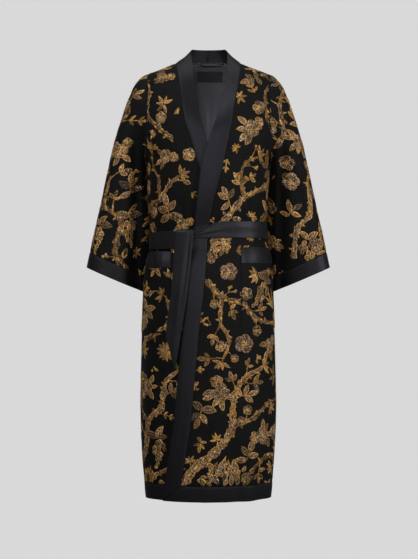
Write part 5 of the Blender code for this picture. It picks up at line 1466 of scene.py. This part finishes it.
# ---------------------------------------------------------------- the pattern's threads
def thread_material(name, rim, fill_a, fill_b, vein, dark, pitch, slant, vein_share=0.6, metal=0.25, midrib=0.6):
    """Woven figures: a lighter outline and a mottled fill with slanting lines, gaps where the dark ground shows, and
    painted highlights, which are pale specks in the base colour standing for light glinting off the metal thread.
    """
    m, nt, sh = new_material(name)
    uv, u, v = uv_axes(nt)
    mark, tint, w = uv_axes(nt, "Mark")
    across = math_node(nt, "MULTIPLY", u, w)
    off = math_node(nt, "ABSOLUTE", across)
    edge = math_node(nt, "SUBTRACT", w, off)
    place = node(nt, "ShaderNodeCombineXYZ", {0: across, 1: v, 2: math_node(nt, "MULTIPLY", tint, 90.0)}).outputs[0]

    def noise(scale, detail=2.0, rough=0.6):
        return node(nt, "ShaderNodeTexNoise", {"Vector": place, "Scale": scale, "Detail": detail, "Roughness": rough}).outputs[0]

    def between(value, low, high, a, b):
        return node(nt, "ShaderNodeMapRange", {"Value": value, "From Min": low, "From Max": high, "To Min": a, "To Max": b}).outputs[0]

    def scaled(colour, factor):
        return mix_colour(nt, 1.0, colour, node(nt, "ShaderNodeCombineXYZ", {0: factor, 1: factor, 2: factor}).outputs[0], "MULTIPLY")

    cloud, fleck, grain, painted_glint = noise(0.11), noise(0.24, 2.0, 0.6), noise(0.62, 2.0, 0.7), noise(0.33, 1.0, 0.5)
    streak = node(nt, "ShaderNodeTexNoise", {"Vector": node(nt, "ShaderNodeMapping", {"Vector": place, "Scale": (1.7, 0.30, 1.0)}).outputs[0], "Scale": 1.0, "Detail": 2.0}).outputs[0]
    wide = math_node(nt, "MULTIPLY_ADD", fleck, 2.0, 1.3)
    rim_on = math_node(nt, "SUBTRACT", wide, edge, clamp=True)
    middle = math_node(nt, "SUBTRACT", 1.05, off, clamp=True)
    line = math_node(nt, "SINE", math_node(nt, "MULTIPLY", math_node(nt, "ADD", v, math_node(nt, "MULTIPLY", off, slant)), 2 * math.pi / pitch))
    line = math_node(nt, "MULTIPLY_ADD", line, 0.5, 0.5)
    pick = math_node(nt, "FRACT", math_node(nt, "MULTIPLY", tint, 7.31))
    mixed = math_node(nt, "MULTIPLY_ADD", math_node(nt, "SUBTRACT", pick, 0.5), 1.5, between(cloud, 0.38, 0.62, 0.0, 1.0), clamp=True)
    base = mix_colour(nt, mixed, fill_a, fill_b)
    base = mix_colour(nt, math_node(nt, "MULTIPLY", line, vein_share), base, vein)
    base = scaled(base, between(grain, 0.34, 0.66, 0.40, 1.60))
    base = mix_colour(nt, between(fleck, 0.54, 0.44, 0.0, 0.92), base, dark)
    outline = scaled(rim, between(streak, 0.34, 0.68, 0.40, 1.60))
    outline = mix_colour(nt, between(cloud, 0.54, 0.66, 0.0, 0.35), outline, vein)
    outline = scaled(outline, between(math_node(nt, "FRACT", math_node(nt, "MULTIPLY", tint, 13.7)), 0.0, 1.0, 0.72, 1.22))
    base = mix_colour(nt, math_node(nt, "MAXIMUM", rim_on, math_node(nt, "MULTIPLY", middle, midrib)), base, outline)
    # painted highlight: pale specks mixed into the base colour where the noise peaks, standing for glints of light off
    # metal thread
    base = mix_colour(nt, between(painted_glint, 0.61, 0.665, 0.0, 0.90), base, (1.0, 0.80, 0.62))
    base = scaled(base, between(tint, 0.0, 1.0, 0.45, 1.52))
    nt.links.new(base, sh.inputs["Base Color"])
    weft = math_node(nt, "SINE", math_node(nt, "MULTIPLY", v, 5.6))
    height = math_node(nt, "ADD", math_node(nt, "MULTIPLY", weft, 0.4), math_node(nt, "MULTIPLY", fleck, 1.6))
    height = math_node(nt, "ADD", height, math_node(nt, "MULTIPLY", grain, 1.4))
    height = math_node(nt, "ADD", height, math_node(nt, "MULTIPLY", line, 0.6))
    b = node(nt, "ShaderNodeBump", {"Height": height, "Strength": 0.6, "Distance": 0.0006})
    nt.links.new(b.outputs[0], sh.inputs["Normal"])
    set_shader(sh, 0.40, metallic=metal, specular=0.4)
    return m


THREADS = [
    thread_material("thread_leaf", (0.77, 0.388, 0.048), (0.340, 0.138, 0.009), (0.165, 0.092, 0.042), (0.255, 0.180, 0.158), (0.008, 0.005, 0.004), 6.4, 0.9, 0.52, midrib=0.55),
    thread_material("thread_petal", (0.81, 0.410, 0.052), (0.320, 0.132, 0.011), (0.175, 0.112, 0.080), (0.300, 0.218, 0.208), (0.009, 0.006, 0.005), 6.2, -0.5, 0.65, midrib=0.0),
    thread_material("thread_bark", (0.58, 0.280, 0.035), (0.380, 0.156, 0.010), (0.130, 0.080, 0.048), (0.215, 0.155, 0.140), (0.008, 0.005, 0.004), 7.0, 1.6, 0.52, midrib=0.2),
    thread_material("thread_gold", (0.98, 0.535, 0.080), (0.520, 0.208, 0.012), (0.330, 0.190, 0.070), (0.370, 0.265, 0.205), (0.016, 0.008, 0.004), 5.4, 0.0, 0.45, 0.35, midrib=0.0),
    thread_material("thread_bronze", (0.300, 0.135, 0.024), (0.085, 0.032, 0.005), (0.075, 0.050, 0.034), (0.130, 0.096, 0.090), (0.007, 0.004, 0.003), 5.6, 0.9, 0.5, midrib=0.4),
]


def lay(name, panel, patches, inside=None, shown=None):
    """Patches as low relief on a panel, with walls that run down into the cloth."""
    flat = np.concatenate([p.grid.reshape(-1, 2) for p in patches]) * MM
    base, n, room = panel.place(flat)
    seen = room > -0.3 * MM
    if shown is not None:
        seen &= shown(flat)
    verts, faces, uvs, marks, slots = [], [], [], [], []
    at = total = 0
    for p in patches:
        nv, nu = p.grid.shape[:2]
        k = nv * nu
        b, nn, r, s = base[at:at + k], n[at:at + k], room[at:at + k], seen[at:at + k].reshape(nv, nu)
        at += k
        on = s[:-1, :-1] & s[1:, :-1] & s[:-1, 1:] & s[1:, 1:]
        if not on.any():
            continue
        m = smooth(r / (1.6 * MM))
        lift = p.lift.reshape(-1) * MM * (0.4 + 0.6 * smooth(r / (14 * MM))) * m - 0.35 * MM * (1 - m)
        idx = np.arange(k).reshape(nv, nu)
        a, c = idx[:-1, :-1][on], idx[1:, 1:][on]
        quads = np.stack([a, idx[:-1, 1:][on], c, idx[1:, :-1][on]], axis=1)
        rim = np.concatenate([idx[0, :-1], idx[:-1, -1], idx[-1, :0:-1], idx[:0:-1, 0]])
        nxt = np.roll(rim, -1)
        walled = s.reshape(-1)[rim] & s.reshape(-1)[nxt]
        low = k + np.arange(len(rim))
        wall = np.stack([rim, low, np.roll(low, -1), nxt], axis=1)[walled]
        top = b + nn * lift[:, None]
        foot = b[rim] - nn[rim] * 0.35 * MM
        q = top[quads[len(quads) // 2]]
        if np.dot(np.cross(q[1] - q[0], q[3] - q[0]), nn[quads[len(quads) // 2][0]]) < 0:
            quads, wall = quads[:, ::-1], wall[:, ::-1]
        u = np.sin(np.linspace(-1, 1, nu) * math.pi / 2)
        along = line_length(p.grid[:, nu // 2])
        uv = np.stack([np.broadcast_to(u, (nv, nu)), np.broadcast_to(along[:, None], (nv, nu))], axis=-1).reshape(-1, 2)
        mark = np.stack([np.full((nv, nu), p.tint), np.broadcast_to(p.half[:, None], (nv, nu))], axis=-1).reshape(-1, 2)
        verts.append(np.concatenate([top, foot]))
        uvs.append(np.concatenate([uv, uv[rim]]))
        marks.append(np.concatenate([mark, mark[rim]]))
        both = np.concatenate([quads, wall]) + total
        faces.append(both)
        slots.append(np.full(len(both), p.slot))
        total += k + len(rim)
    verts, faces, uvs, marks, slots = map(np.concatenate, (verts, faces, uvs, marks, slots))
    used, new = np.unique(faces, return_inverse=True)
    obj = mesh_object(name, verts[used], new.reshape(faces.shape), uvs[used], THREADS, slots)
    layer = obj.data.uv_layers.new(name="Mark")
    loops = np.zeros(len(obj.data.loops), dtype=np.int32)
    obj.data.loops.foreach_get("vertex_index", loops)
    layer.data.foreach_set("uv", marks[used].astype(np.float32)[loops].ravel())
    return obj
# ================================================================ build the cloth
def keep(obj, node_name, body="root"):
    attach(obj, body)
    if node_name:
        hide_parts(node_name)
    return obj


CUTS = []  # piece, its middle surface's area


def cloth(name, node_name, grid, normal, half, uv, mat, slot, closed=False):
    obj = keep(slab(name, grid, normal, half, uv, mat, closed), node_name)
    CUTS.append((obj, flat_area(grid, closed)))
    return obj


panels, objects = {}, {}
for side in ("left", "right"):
    p = front_panel(side)
    panels[p.name] = p
    objects[p.name] = cloth("cloth_" + p.name, p.name, p.grid, p.normal, p.half, p.chart, GROUND, "brocade")
p = back_panel()
panels["back"] = p
objects["back"] = cloth("cloth_back", "back", p.grid, p.normal, p.half, p.chart, GROUND, "brocade")
for side in ("left", "right"):
    whole, n, half, uv, p = sleeve_piece(side)
    panels[p.name] = p
    objects[p.name] = cloth("cloth_" + side + "_sleeve", side + "_sleeve", whole, n, half, uv, GROUND, "brocade", closed=True)
    objects[side + "_cuff"] = cloth("trim_" + side + "_cuff", side + "_cuff", *cuff_piece(side), HEM, "satin", closed=True)
    objects[side + "_band"] = cloth("trim_" + side + "_band", side + "_band", *band_piece(side), BAND, "satin")
for side in ("left", "right", "back"):
    objects[side + "_hem"] = cloth("trim_" + side + "_hem", side + "_hem", *hem_piece(side), HEM, "satin")

pockets = {}
for row in POCKETS:
    pocket = Pocket(row, panels[row.side + "_front"])
    pockets[row.side] = pocket
    split = 1 - POCKET_TRIM_H / (pocket.high - pocket.low)
    grid, n, half, chart, across, up = pocket.surface(0.0, split + 0.012, 44, 34, POCKET_H)
    sunk = np.clip((up - (up[-1] - 0.0035)) / 0.0035, 0, 1)
    grid = grid - n * (0.5 * MM * sunk)[..., None]
    room = np.minimum(np.minimum(across, across[:, -1:] - across), np.minimum(up, up[-1:] - up - 2.6 * MM)) - 0.3 * MM
    panels[row.side + "_pocket"] = Panel(row.side + "_pocket", grid, n, chart, half, room)
    objects[row.side + "_pocket"] = cloth("cloth_" + row.side + "_pocket", row.side + "_pocket", grid, n, half, chart, GROUND, "brocade")
    grid, n, half, chart, across, up = pocket.surface(split, 1.0, 12, 34, 0.8 * MM, extra=0.35 * MM)
    uv = np.stack([up, across], axis=-1)
    objects[row.side + "_pocket_band"] = cloth("trim_" + row.side + "_pocket_band", row.side + "_pocket_band", grid, n, half, uv, POCKET_SATIN, "satin")

objects["belt"] = cloth("belt_loop", "belt", *belt_surface(330, 17), BELT, "satin")
TAIL_FOLDS = [(0, 150, 0.80, 3.0, -1.4), (10, 190, 0.90, 3.0, 1.2), (60, 260, 0.55, 6.0, 0.8), (150, 330, 0.30, 6.0, -0.6), (200, 380, 0.7, 6.0, 0.5)]
objects["belt_end_front"] = cloth("belt_end_front_strip", "belt_end_front", *tail_surface(FRONT_TAIL, TAIL_CUT, 13, 110, TAIL_FOLDS, (-455 * MM, -700 * MM)), BELT, "satin")
objects["belt_end_back"] = cloth("belt_end_back_strip", "belt_end_back", *tail_surface(BACK_TAIL, BACK_TAIL_CUT, 9, 60), BELT, "satin")
verts, faces, uvs = knot_mesh()
knot = keep(mesh_object("belt_knot_wrap", verts, faces, uvs, [BELT]), "belt_knot")

first = int(np.argmin(np.abs(panels["back"].chart[:, 0, 1] + 0.240)))
grid = form_grid_back(first)
n = outward(grid)
arc = np.concatenate([np.zeros((len(grid), 1)), np.cumsum(np.linalg.norm(np.diff(grid, axis=1), axis=2), axis=1)], axis=1)
down = np.concatenate([np.zeros((1, grid.shape[1])), np.cumsum(np.linalg.norm(np.diff(grid, axis=0), axis=2), axis=0)])
objects["back_lining"] = cloth("back_lining_satin", "back_lining", grid, n, 0.4 * MM, np.stack([arc, down], axis=-1), LINING, "lining")

x = np.linspace(-38, 38, 31) * MM + 5 * MM
z = np.linspace(-1.5, -28.5, 13) * MM
x, z = np.meshgrid(x, z)
grid = np.stack([x, form_y(x, z, True), z], axis=2)
n = outward(grid)
bow = 0.5 * MM * np.cos((x - 5 * MM) / 0.038 * math.pi) * np.sin((z + 0.0015) / -0.027 * math.pi)
grid = grid - n * (4.3 * MM + bow)[..., None]
objects["label"] = cloth("label_woven", "label", grid, n, 0.35 * MM, np.stack([x, z], axis=-1), LABEL, "label")


def tube(points, radius, sides=10):
    points = np.asarray(points)
    step = np.gradient(points, axis=0)
    step /= np.linalg.norm(step, axis=1, keepdims=True)
    up = np.array([0.0, 1.0, 0.0])
    a = np.cross(step, up)
    a /= np.linalg.norm(a, axis=1, keepdims=True)
    b = np.cross(a, step)
    ring = np.linspace(0, 2 * math.pi, sides, endpoint=False)
    verts = points[:, None] + radius * (np.cos(ring)[None, :, None] * a[:, None] + 0.7 * np.sin(ring)[None, :, None] * b[:, None])
    n = len(points)
    faces = [(i * sides + j, i * sides + (j + 1) % sides, (i + 1) * sides + (j + 1) % sides, (i + 1) * sides + j) for i in range(n - 1) for j in range(sides)]
    faces += [tuple(range(sides))[::-1], tuple((n - 1) * sides + j for j in range(sides))]
    along = line_length(points)
    uvs = np.stack([np.broadcast_to(ring * radius, (n, sides)), np.broadcast_to(along[:, None], (n, sides))], axis=-1)
    return verts.reshape(-1, 3), faces, uvs.reshape(-1, 2)


t = np.linspace(-1, 1, 41)
loop = np.stack([8 * MM + 29 * MM * t, np.full(41, 0.0), 11.5 * MM - 4.5 * MM * np.sqrt(np.maximum(0.0, 1 - t**4))], axis=1)
loop[:, 1] = form_y(loop[:, 0], np.full(41, 8.0 * MM), True) - 10.5 * MM
verts, faces, uvs = tube(loop, 1.1 * MM)
keep(mesh_object("hanging_loop_cord", verts, faces, uvs, [LOOP_AND_SHADE]), "hanging_loop")
# ================================================================ the pattern laid out on each panel
# Main branches and large figures placed one by one on each panel's chart, in mm; fill() then adds small ones.
Bough = namedtuple("Bough", "panel w0 w1 points")
BOUGHS = [Bough(*r) for r in (
    ("left_front", 19, 8, ((6, -520), (22, -440), (58, -392), (92, -352), (142, -330), (206, -300))),
    ("left_front", 10, 5, ((92, -352), (84, -300), (100, -262), (140, -246))),
    ("left_front", 11, 5, ((216, -214), (186, -176), (160, -140), (154, -84), (176, -40), (168, 20))),
    ("left_front", 22, 9, ((-74, -1088), (-30, -1034), (22, -990), (62, -930), (64, -868), (98, -806), (150, -782))),
    ("left_front", 12, 5, ((62, -930), (112, -914), (164, -878), (212, -866))),
    ("left_front", 15, 7, ((-6, -560), (34, -604), (86, -620), (128, -660), (206, -676))),
    ("left_front", 9, 5, ((34, -604), (30, -664), (54, -716), (34, -768))),
    ("left_front", 13, 6, ((216, -1050), (172, -1010), (128, -1034), (84, -1074))),
    ("left_front", 10, 5, ((216, -560), (176, -536), (128, -548))),
    ("right_front", 17, 7, ((-216, -420), (-180, -372), (-132, -356), (-96, -312), (-70, -296))),
    ("right_front", 9, 5, ((-132, -356), (-136, -306), (-164, -262), (-158, -226))),
    ("right_front", 11, 5, ((-90, -204), (-128, -176), (-168, -132), (-160, -70), (-184, -20), (-150, 30))),
    ("right_front", 20, 9, ((-216, -1040), (-176, -988), (-168, -926), (-124, -884), (-112, -822), (-76, -790))),
    ("right_front", 11, 5, ((-168, -926), (-208, -880), (-204, -820))),
    ("right_front", 14, 6, ((-216, -760), (-182, -716), (-140, -700), (-98, -654), (-110, -600))),
    ("right_front", 10, 5, ((-216, -560), (-182, -600), (-140, -588))),
    ("right_front", 12, 6, ((-70, -1088), (-96, -1040), (-142, -1060), (-190, -1082))),
    ("right_front", 12, 6, ((-40, -640), (-20, -760), (10, -880), (0, -1000))),
    ("back", 24, 10, ((-60, -1088), (-40, -1000), (-84, -920), (-60, -830), (-110, -750), (-90, -660), (-140, -590))),
    ("back", 13, 6, ((-84, -920), (-140, -890), (-184, -830), (-214, -824))),
    ("back", 14, 6, ((-60, -830), (0, -800), (50, -750), (110, -742))),
    ("back", 20, 8, ((190, -1088), (150, -1020), (170, -950), (120, -880), (160, -810), (214, -780))),
    ("back", 12, 6, ((120, -880), (60, -900), (20, -960), (30, -1030))),
    ("back", 15, 7, ((214, -640), (160, -620), (110, -570), (40, -590), (-10, -560))),
    ("back", 18, 7, ((-214, -430), (-160, -380), (-100, -390), (-40, -340), (20, -350), (70, -300))),
    ("back", 12, 6, ((-100, -390), (-90, -320), (-130, -260), (-110, -190))),
    ("back", 15, 6, ((214, -330), (160, -290), (140, -220), (90, -170), (110, -90), (90, -20))),
    ("back", 11, 5, ((-30, -250), (-60, -190), (-40, -120), (-80, -60), (-150, -30))),
    ("left_sleeve", 15, 6, ((196, -520), (206, -450), (244, -400), (240, -330), (272, -280))),
    ("left_sleeve", 12, 5, ((168, -250), (188, -200), (180, -140), (196, -80))),
    ("left_sleeve", 12, 5, ((304, -500), (272, -456), (286, -400))),
    ("left_sleeve", 14, 6, ((430, -380), (400, -300), (352, -290), (330, -220), (290, -180))),
    ("left_sleeve", 12, 5, ((440, -200), (390, -180), (370, -110), (320, -80))),
    ("right_sleeve", 15, 6, ((-176, -560), (-216, -500), (-204, -430), (-248, -380), (-236, -310))),
    ("right_sleeve", 12, 5, ((-236, -180), (-200, -150), (-214, -90), (-184, -50))),
    ("right_sleeve", 12, 5, ((-308, -470), (-276, -430), (-290, -370), (-262, -300))),
    ("right_sleeve", 14, 6, ((-420, -420), (-380, -360), (-390, -290), (-330, -250), (-300, -170))),
    ("right_sleeve", 12, 5, ((-430, -240), (-400, -170), (-350, -150), (-340, -80))),
)]
Figure = namedtuple("Figure", "panel kind x z size angle")
FIGURES = [Figure(*r) for r in (
    ("left_front", "peony", 112, -178, 40, 20), ("left_front", "raceme", 176, -384, 84, 250), ("left_front", "leaves", 186, -266, 40, 100),
    ("left_front", "blossom", 134, -120, 20, 40), ("left_front", "spray", 118, -66, 28, 110), ("left_front", "star", 122, 10, 26, 60),
    ("left_front", "peony", 30, -846, 42, 70), ("left_front", "raceme", 152, -560, 96, 262), ("left_front", "peony", 176, -730, 34, 40),
    ("left_front", "peony", 146, -958, 38, 190), ("left_front", "mound", 40, -1082, 130, 0), ("left_front", "blossom", 52, -540, 24, 10),
    ("left_front", "leaves", -20, -900, 44, 250), ("left_front", "leaves", 104, -1006, 40, 60), ("left_front", "blossom", 92, -722, 26, 0),
    ("left_front", "star", 196, -806, 28, 200), ("left_front", "blossom", 196, -954, 23, 0), ("left_front", "spray", 84, -486, 26, 10),
    ("left_front", "leaves", 192, -490, 38, 80), ("left_front", "blades", 196, -636, 58, 120), ("left_front", "peony", 44, -470, 28, 30), ("left_front", "leaves", 120, -34, 40, 200), ("left_front", "blossom", 190, -112, 22, 0),
    ("right_front", "peony", -112, -246, 34, 20), ("right_front", "leaves", -104, -382, 44, 98), ("right_front", "blossom", -196, -322, 24, 40),
    ("right_front", "star", -116, -112, 27, 150), ("right_front", "peony", -122, -30, 32, 0), ("right_front", "spray", -200, -170, 26, 260),
    ("right_front", "peony", -152, -520, 36, 130), ("right_front", "raceme", -176, -640, 78, 240), ("right_front", "daisy", -110, -742, 27, 0),
    ("right_front", "peony", -172, -836, 36, 200), ("right_front", "raceme", -138, -964, 92, 284), 
    ("right_front", "star", -98, -556, 26, 60), ("right_front", "peony", -64, -420, 27, 10), ("right_front", "mound", -164, -1082, 72, 0),
    ("right_front", "leaves", -204, -478, 36, 100), ("right_front", "blossom", -164, -430, 20, 0),
    ("back", "peony", -150, -990, 44, 10), ("back", "raceme", 10, -700, 120, 262), ("back", "peony", 90, -656, 38, 0),
    ("back", "peony", 80, -980, 44, 60), ("back", "blades", -190, -700, 110, 70), ("back", "peony", -30, -480, 38, 30),
    ("back", "raceme", 120, -480, 90, 250), ("back", "daisy", -150, -500, 34, 0), ("back", "peony", 40, -230, 46, 90),
    ("back", "raceme", -160, -300, 110, 272), ("back", "peony", 160, -390, 36, 120), ("back", "daisy", -170, -120, 34, 0),
    ("back", "blossom", 40, -110, 28, 0), ("back", "spray", 160, -110, 32, 80), ("back", "peony", 190, -560, 30, 200),
    ("back", "leaves", -20, -50, 44, 120), ("back", "mound", -140, -1082, 140, 0), ("back", "mound", 80, -1082, 120, 0), ("back", "blossom", -190, -560, 28, 0), ("back", "star", 190, -700, 30, 30),
    ("left_sleeve", "peony", 226, -226, 36, 30), ("left_sleeve", "raceme", 236, -470, 88, 262), ("left_sleeve", "blossom", 196, -330, 24, 0),
    ("left_sleeve", "leaves", 192, -404, 38, 60), ("left_sleeve", "star", 230, -130, 26, 30), ("left_sleeve", "leaves", 274, -352, 44, 100),
    ("left_sleeve", "leaves", 222, -164, 38, 100), ("left_sleeve", "leaves", 264, -506, 40, 60), ("left_sleeve", "blossom", 284, -436, 22, 0), ("left_sleeve", "peony", 380, -420, 36, 30), ("left_sleeve", "daisy", 320, -340, 30, 0), ("left_sleeve", "raceme", 400, -260, 84, 240),
    ("right_sleeve", "peony", -214, -252, 34, 30), ("right_sleeve", "raceme", -262, -430, 74, 262), ("right_sleeve", "leaves", -186, -346, 40, 100),
    ("right_sleeve", "raceme", -184, -420, 84, 275), ("right_sleeve", "star", -250, -240, 27, 30), ("right_sleeve", "blossom", -216, -124, 22, 0),
    ("right_sleeve", "peony", -340, -440, 38, 30), ("right_sleeve", "daisy", -300, -320, 30, 0), ("right_sleeve", "raceme", -380, -220, 84, 280),
)]


def draw(name, panel, seed, target):
    d = Drawing(seed)
    for i, f in enumerate(FIGURES):
        if f.panel == name:
            head(d, f.kind, f.x, f.z, f.size, math.radians(f.angle))
    for i, b in enumerate(BOUGHS):
        if b.panel == name:
            dressed_bough(d, b.points, b.w0, b.w1, 1 if i % 2 else -1)
    low, high = panel.chart.reshape(-1, 2).min(axis=0) / MM, panel.chart.reshape(-1, 2).max(axis=0) / MM
    spots = np.stack(np.meshgrid(np.arange(low[0], high[0], 8.0), np.arange(low[1], high[1], 8.0)), axis=-1).reshape(-1, 2)
    spots = spots[panel.place(spots * MM)[2] > 2 * MM]
    share = fill(d, spots, target)
    return d, share


for k, name in enumerate(("left_front", "right_front", "back", "left_sleeve", "right_sleeve")):
    panel = panels[name]
    d, share = draw(name, panel, 41 + k, {"right_front": 0.43, "back": 0.47}.get(name, 0.51))
    print("pattern", name, len(d.patches), round(share, 3))
    node_name = name
    side = name.split("_")[0]
    pocket = pockets.get(side) if name.endswith("front") else None
    if pocket is None:
        keep(lay("woven_" + name, panel, d.patches), None)
    else:
        keep(lay("woven_" + name, panel, d.patches, shown=lambda q: pocket.inside(q) < 4 * MM), None)
        near = [p for p in d.patches if (pocket.inside(p.grid.reshape(-1, 2) * MM) > -1 * MM).any()]
        keep(lay("woven_" + side + "_pocket", panels[side + "_pocket"], near), None)
# ================================================================ each sheet's cut: its flat size, what shows of it, and how it is held
Sheet = namedtuple("Sheet", "key flat area held rests_on pieces")
SHEETS = [Sheet(*r) for r in (
    ("left_front", (0.315, 1.158), 0.247, "hung", (), ("left_front",)),
    ("right_front", (0.314, 1.158), 0.248, "hung", (), ("right_front",)),
    ("back", (0.476, 1.135), 0.474, "hung", (), ("back",)),
    ("left_sleeve", (0.470, 0.560), 0.169, "hung", (), ("left_sleeve",)),
    ("right_sleeve", (0.470, 0.560), 0.169, "hung", (), ("right_sleeve",)),
    ("left_cuff", (0.0386, 0.4475), 0.0168, "hung", (), ()),
    ("right_cuff", (0.0386, 0.4455), 0.0167, "hung", (), ()),
    ("left_band", (0.0645, 1.279), 0.0532, "hung", (), ()),
    ("right_band", (0.0644, 1.278), 0.0529, "hung", (), ()),
    ("left_hem", (0.040, 0.3435), 0.0130, "hung", (), ()),
    ("right_hem", (0.040, 0.3387), 0.0127, "hung", (), ()),
    ("back_hem", (0.040, 0.4455), 0.0177, "hung", (), ()),
    ("left_pocket", (0.1465, 0.170), 0.0237, "laid", ("left_front",), ("left_pocket",)),
    ("right_pocket", (0.1336, 0.170), 0.0207, "laid", ("right_front",), ("right_pocket",)),
    ("left_pocket_band", (0.040, 0.1463), 0.0054, "laid", ("left_front",), ()),
    ("right_pocket_band", (0.040, 0.1336), 0.0047, "laid", ("right_front",), ()),
    ("belt", (0.0445, 0.830), 0.0356, "gathered", (), ()),
    ("belt_end_front", (0.046, 0.375), 0.0142, "hung", (), ()),
    ("belt_end_back", (0.035, 0.182), 0.0052, "hung", (), ()),
    ("back_lining", (0.3645, 0.282), 0.0865, "hung", (), ()),
    ("label", (0.0790, 0.0290), None, "laid", ("back_lining",), ()),
)]
for row in SHEETS:
    measured = next(area for obj, area in CUTS if obj is objects[row.key])
    print("sheet", row.key, row.area, round(measured, 5))

# ================================================================ camera, light and stage
scene = bpy.context.scene
scene.view_settings.view_transform = "Standard"
scene.view_settings.look = "None"
cam_data = bpy.data.cameras.new("camera")
cam_data.sensor_width = 36.0
cam_data.sensor_fit = "AUTO"
cam_data.lens = 36.0 * 3.3 / 1.4646
cam = bpy.data.objects.new("camera", cam_data)
cam.location = (0.0021, -3.3, -0.5594)
cam.rotation_euler = (math.pi / 2, 0, 0)
scene.collection.objects.link(cam)
scene.camera = cam


def area_light(name, location, target, size, power, colour=(1, 1, 1)):
    data = bpy.data.lights.new(name, "AREA")
    data.shape = "RECTANGLE"
    data.size, data.size_y = size
    data.energy = power
    data.color = colour
    obj = bpy.data.objects.new(name, data)
    obj.location = location
    obj.rotation_euler = (Vector(target) - Vector(location)).to_track_quat("-Z", "Y").to_euler()
    scene.collection.objects.link(obj)
    return obj


area_light("right", (2.7, -1.9, 0.2), (0, 0, -0.5), (1.0, 1.4), 42)
area_light("front", (-0.12, -3.3, 0.20), (0, 0, -0.3), (0.6, 0.6), 19)
area_light("left_high", (-1.25, -1.3, 1.35), (0, 0, -0.2), (0.8, 0.8), 17)
area_light("top", (0, 0.2, 2.0), (0, 0, -0.2), (1.4, 1.0), 6)
for lamp in (area_light("back_left", (-2.4, 1.9, 0.4), (0, 0, -0.5), (1.2, 1.8), 36), area_light("back_right", (1.1, 2.8, 0.3), (0, 0, -0.5), (1.2, 1.8), 30)):
    lamp.visible_glossy = False

world = bpy.data.worlds.new("studio")
scene.world = world
world.use_nodes = True
world.node_tree.nodes["Background"].inputs[0].default_value = (0.70, 0.70, 0.70, 1)
world.node_tree.nodes["Background"].inputs[1].default_value = 0.088

# A pale floor that curves up into the backdrop all round.
stage_mat, nt, sh = new_material("backdrop")
sh.inputs["Base Color"].default_value = (0.0, 0.0, 0.0, 1)
sh.inputs["Roughness"].default_value = 1.0
sh.inputs["Specular IOR Level"].default_value = 0.0
sh.inputs["Emission Color"].default_value = (1, 1, 1, 1)
sh.inputs["Emission Strength"].default_value = 0.695
profile = [(0.05, -1.32)] + [(6.0 + 1.6 * math.sin(a), 0.28 - 1.6 * math.cos(a)) for a in np.linspace(0, math.pi / 2, 14)] + [(7.6, 8.0)]
turns = [2 * math.pi * i / 48 for i in range(48)]
verts = [(r * math.cos(a), r * math.sin(a), z) for a in turns for r, z in profile]
k = len(profile)
ring = [(i * k + j, i * k + j + 1, (i + 1) % 48 * k + j + 1, (i + 1) % 48 * k + j) for i in range(48) for j in range(k - 1)]
stage = mesh_object("floor_and_backdrop", verts, ring + [tuple(i * k for i in range(48))], None, [stage_mat])
stage.visible_diffuse = stage.visible_glossy = stage.visible_shadow = False
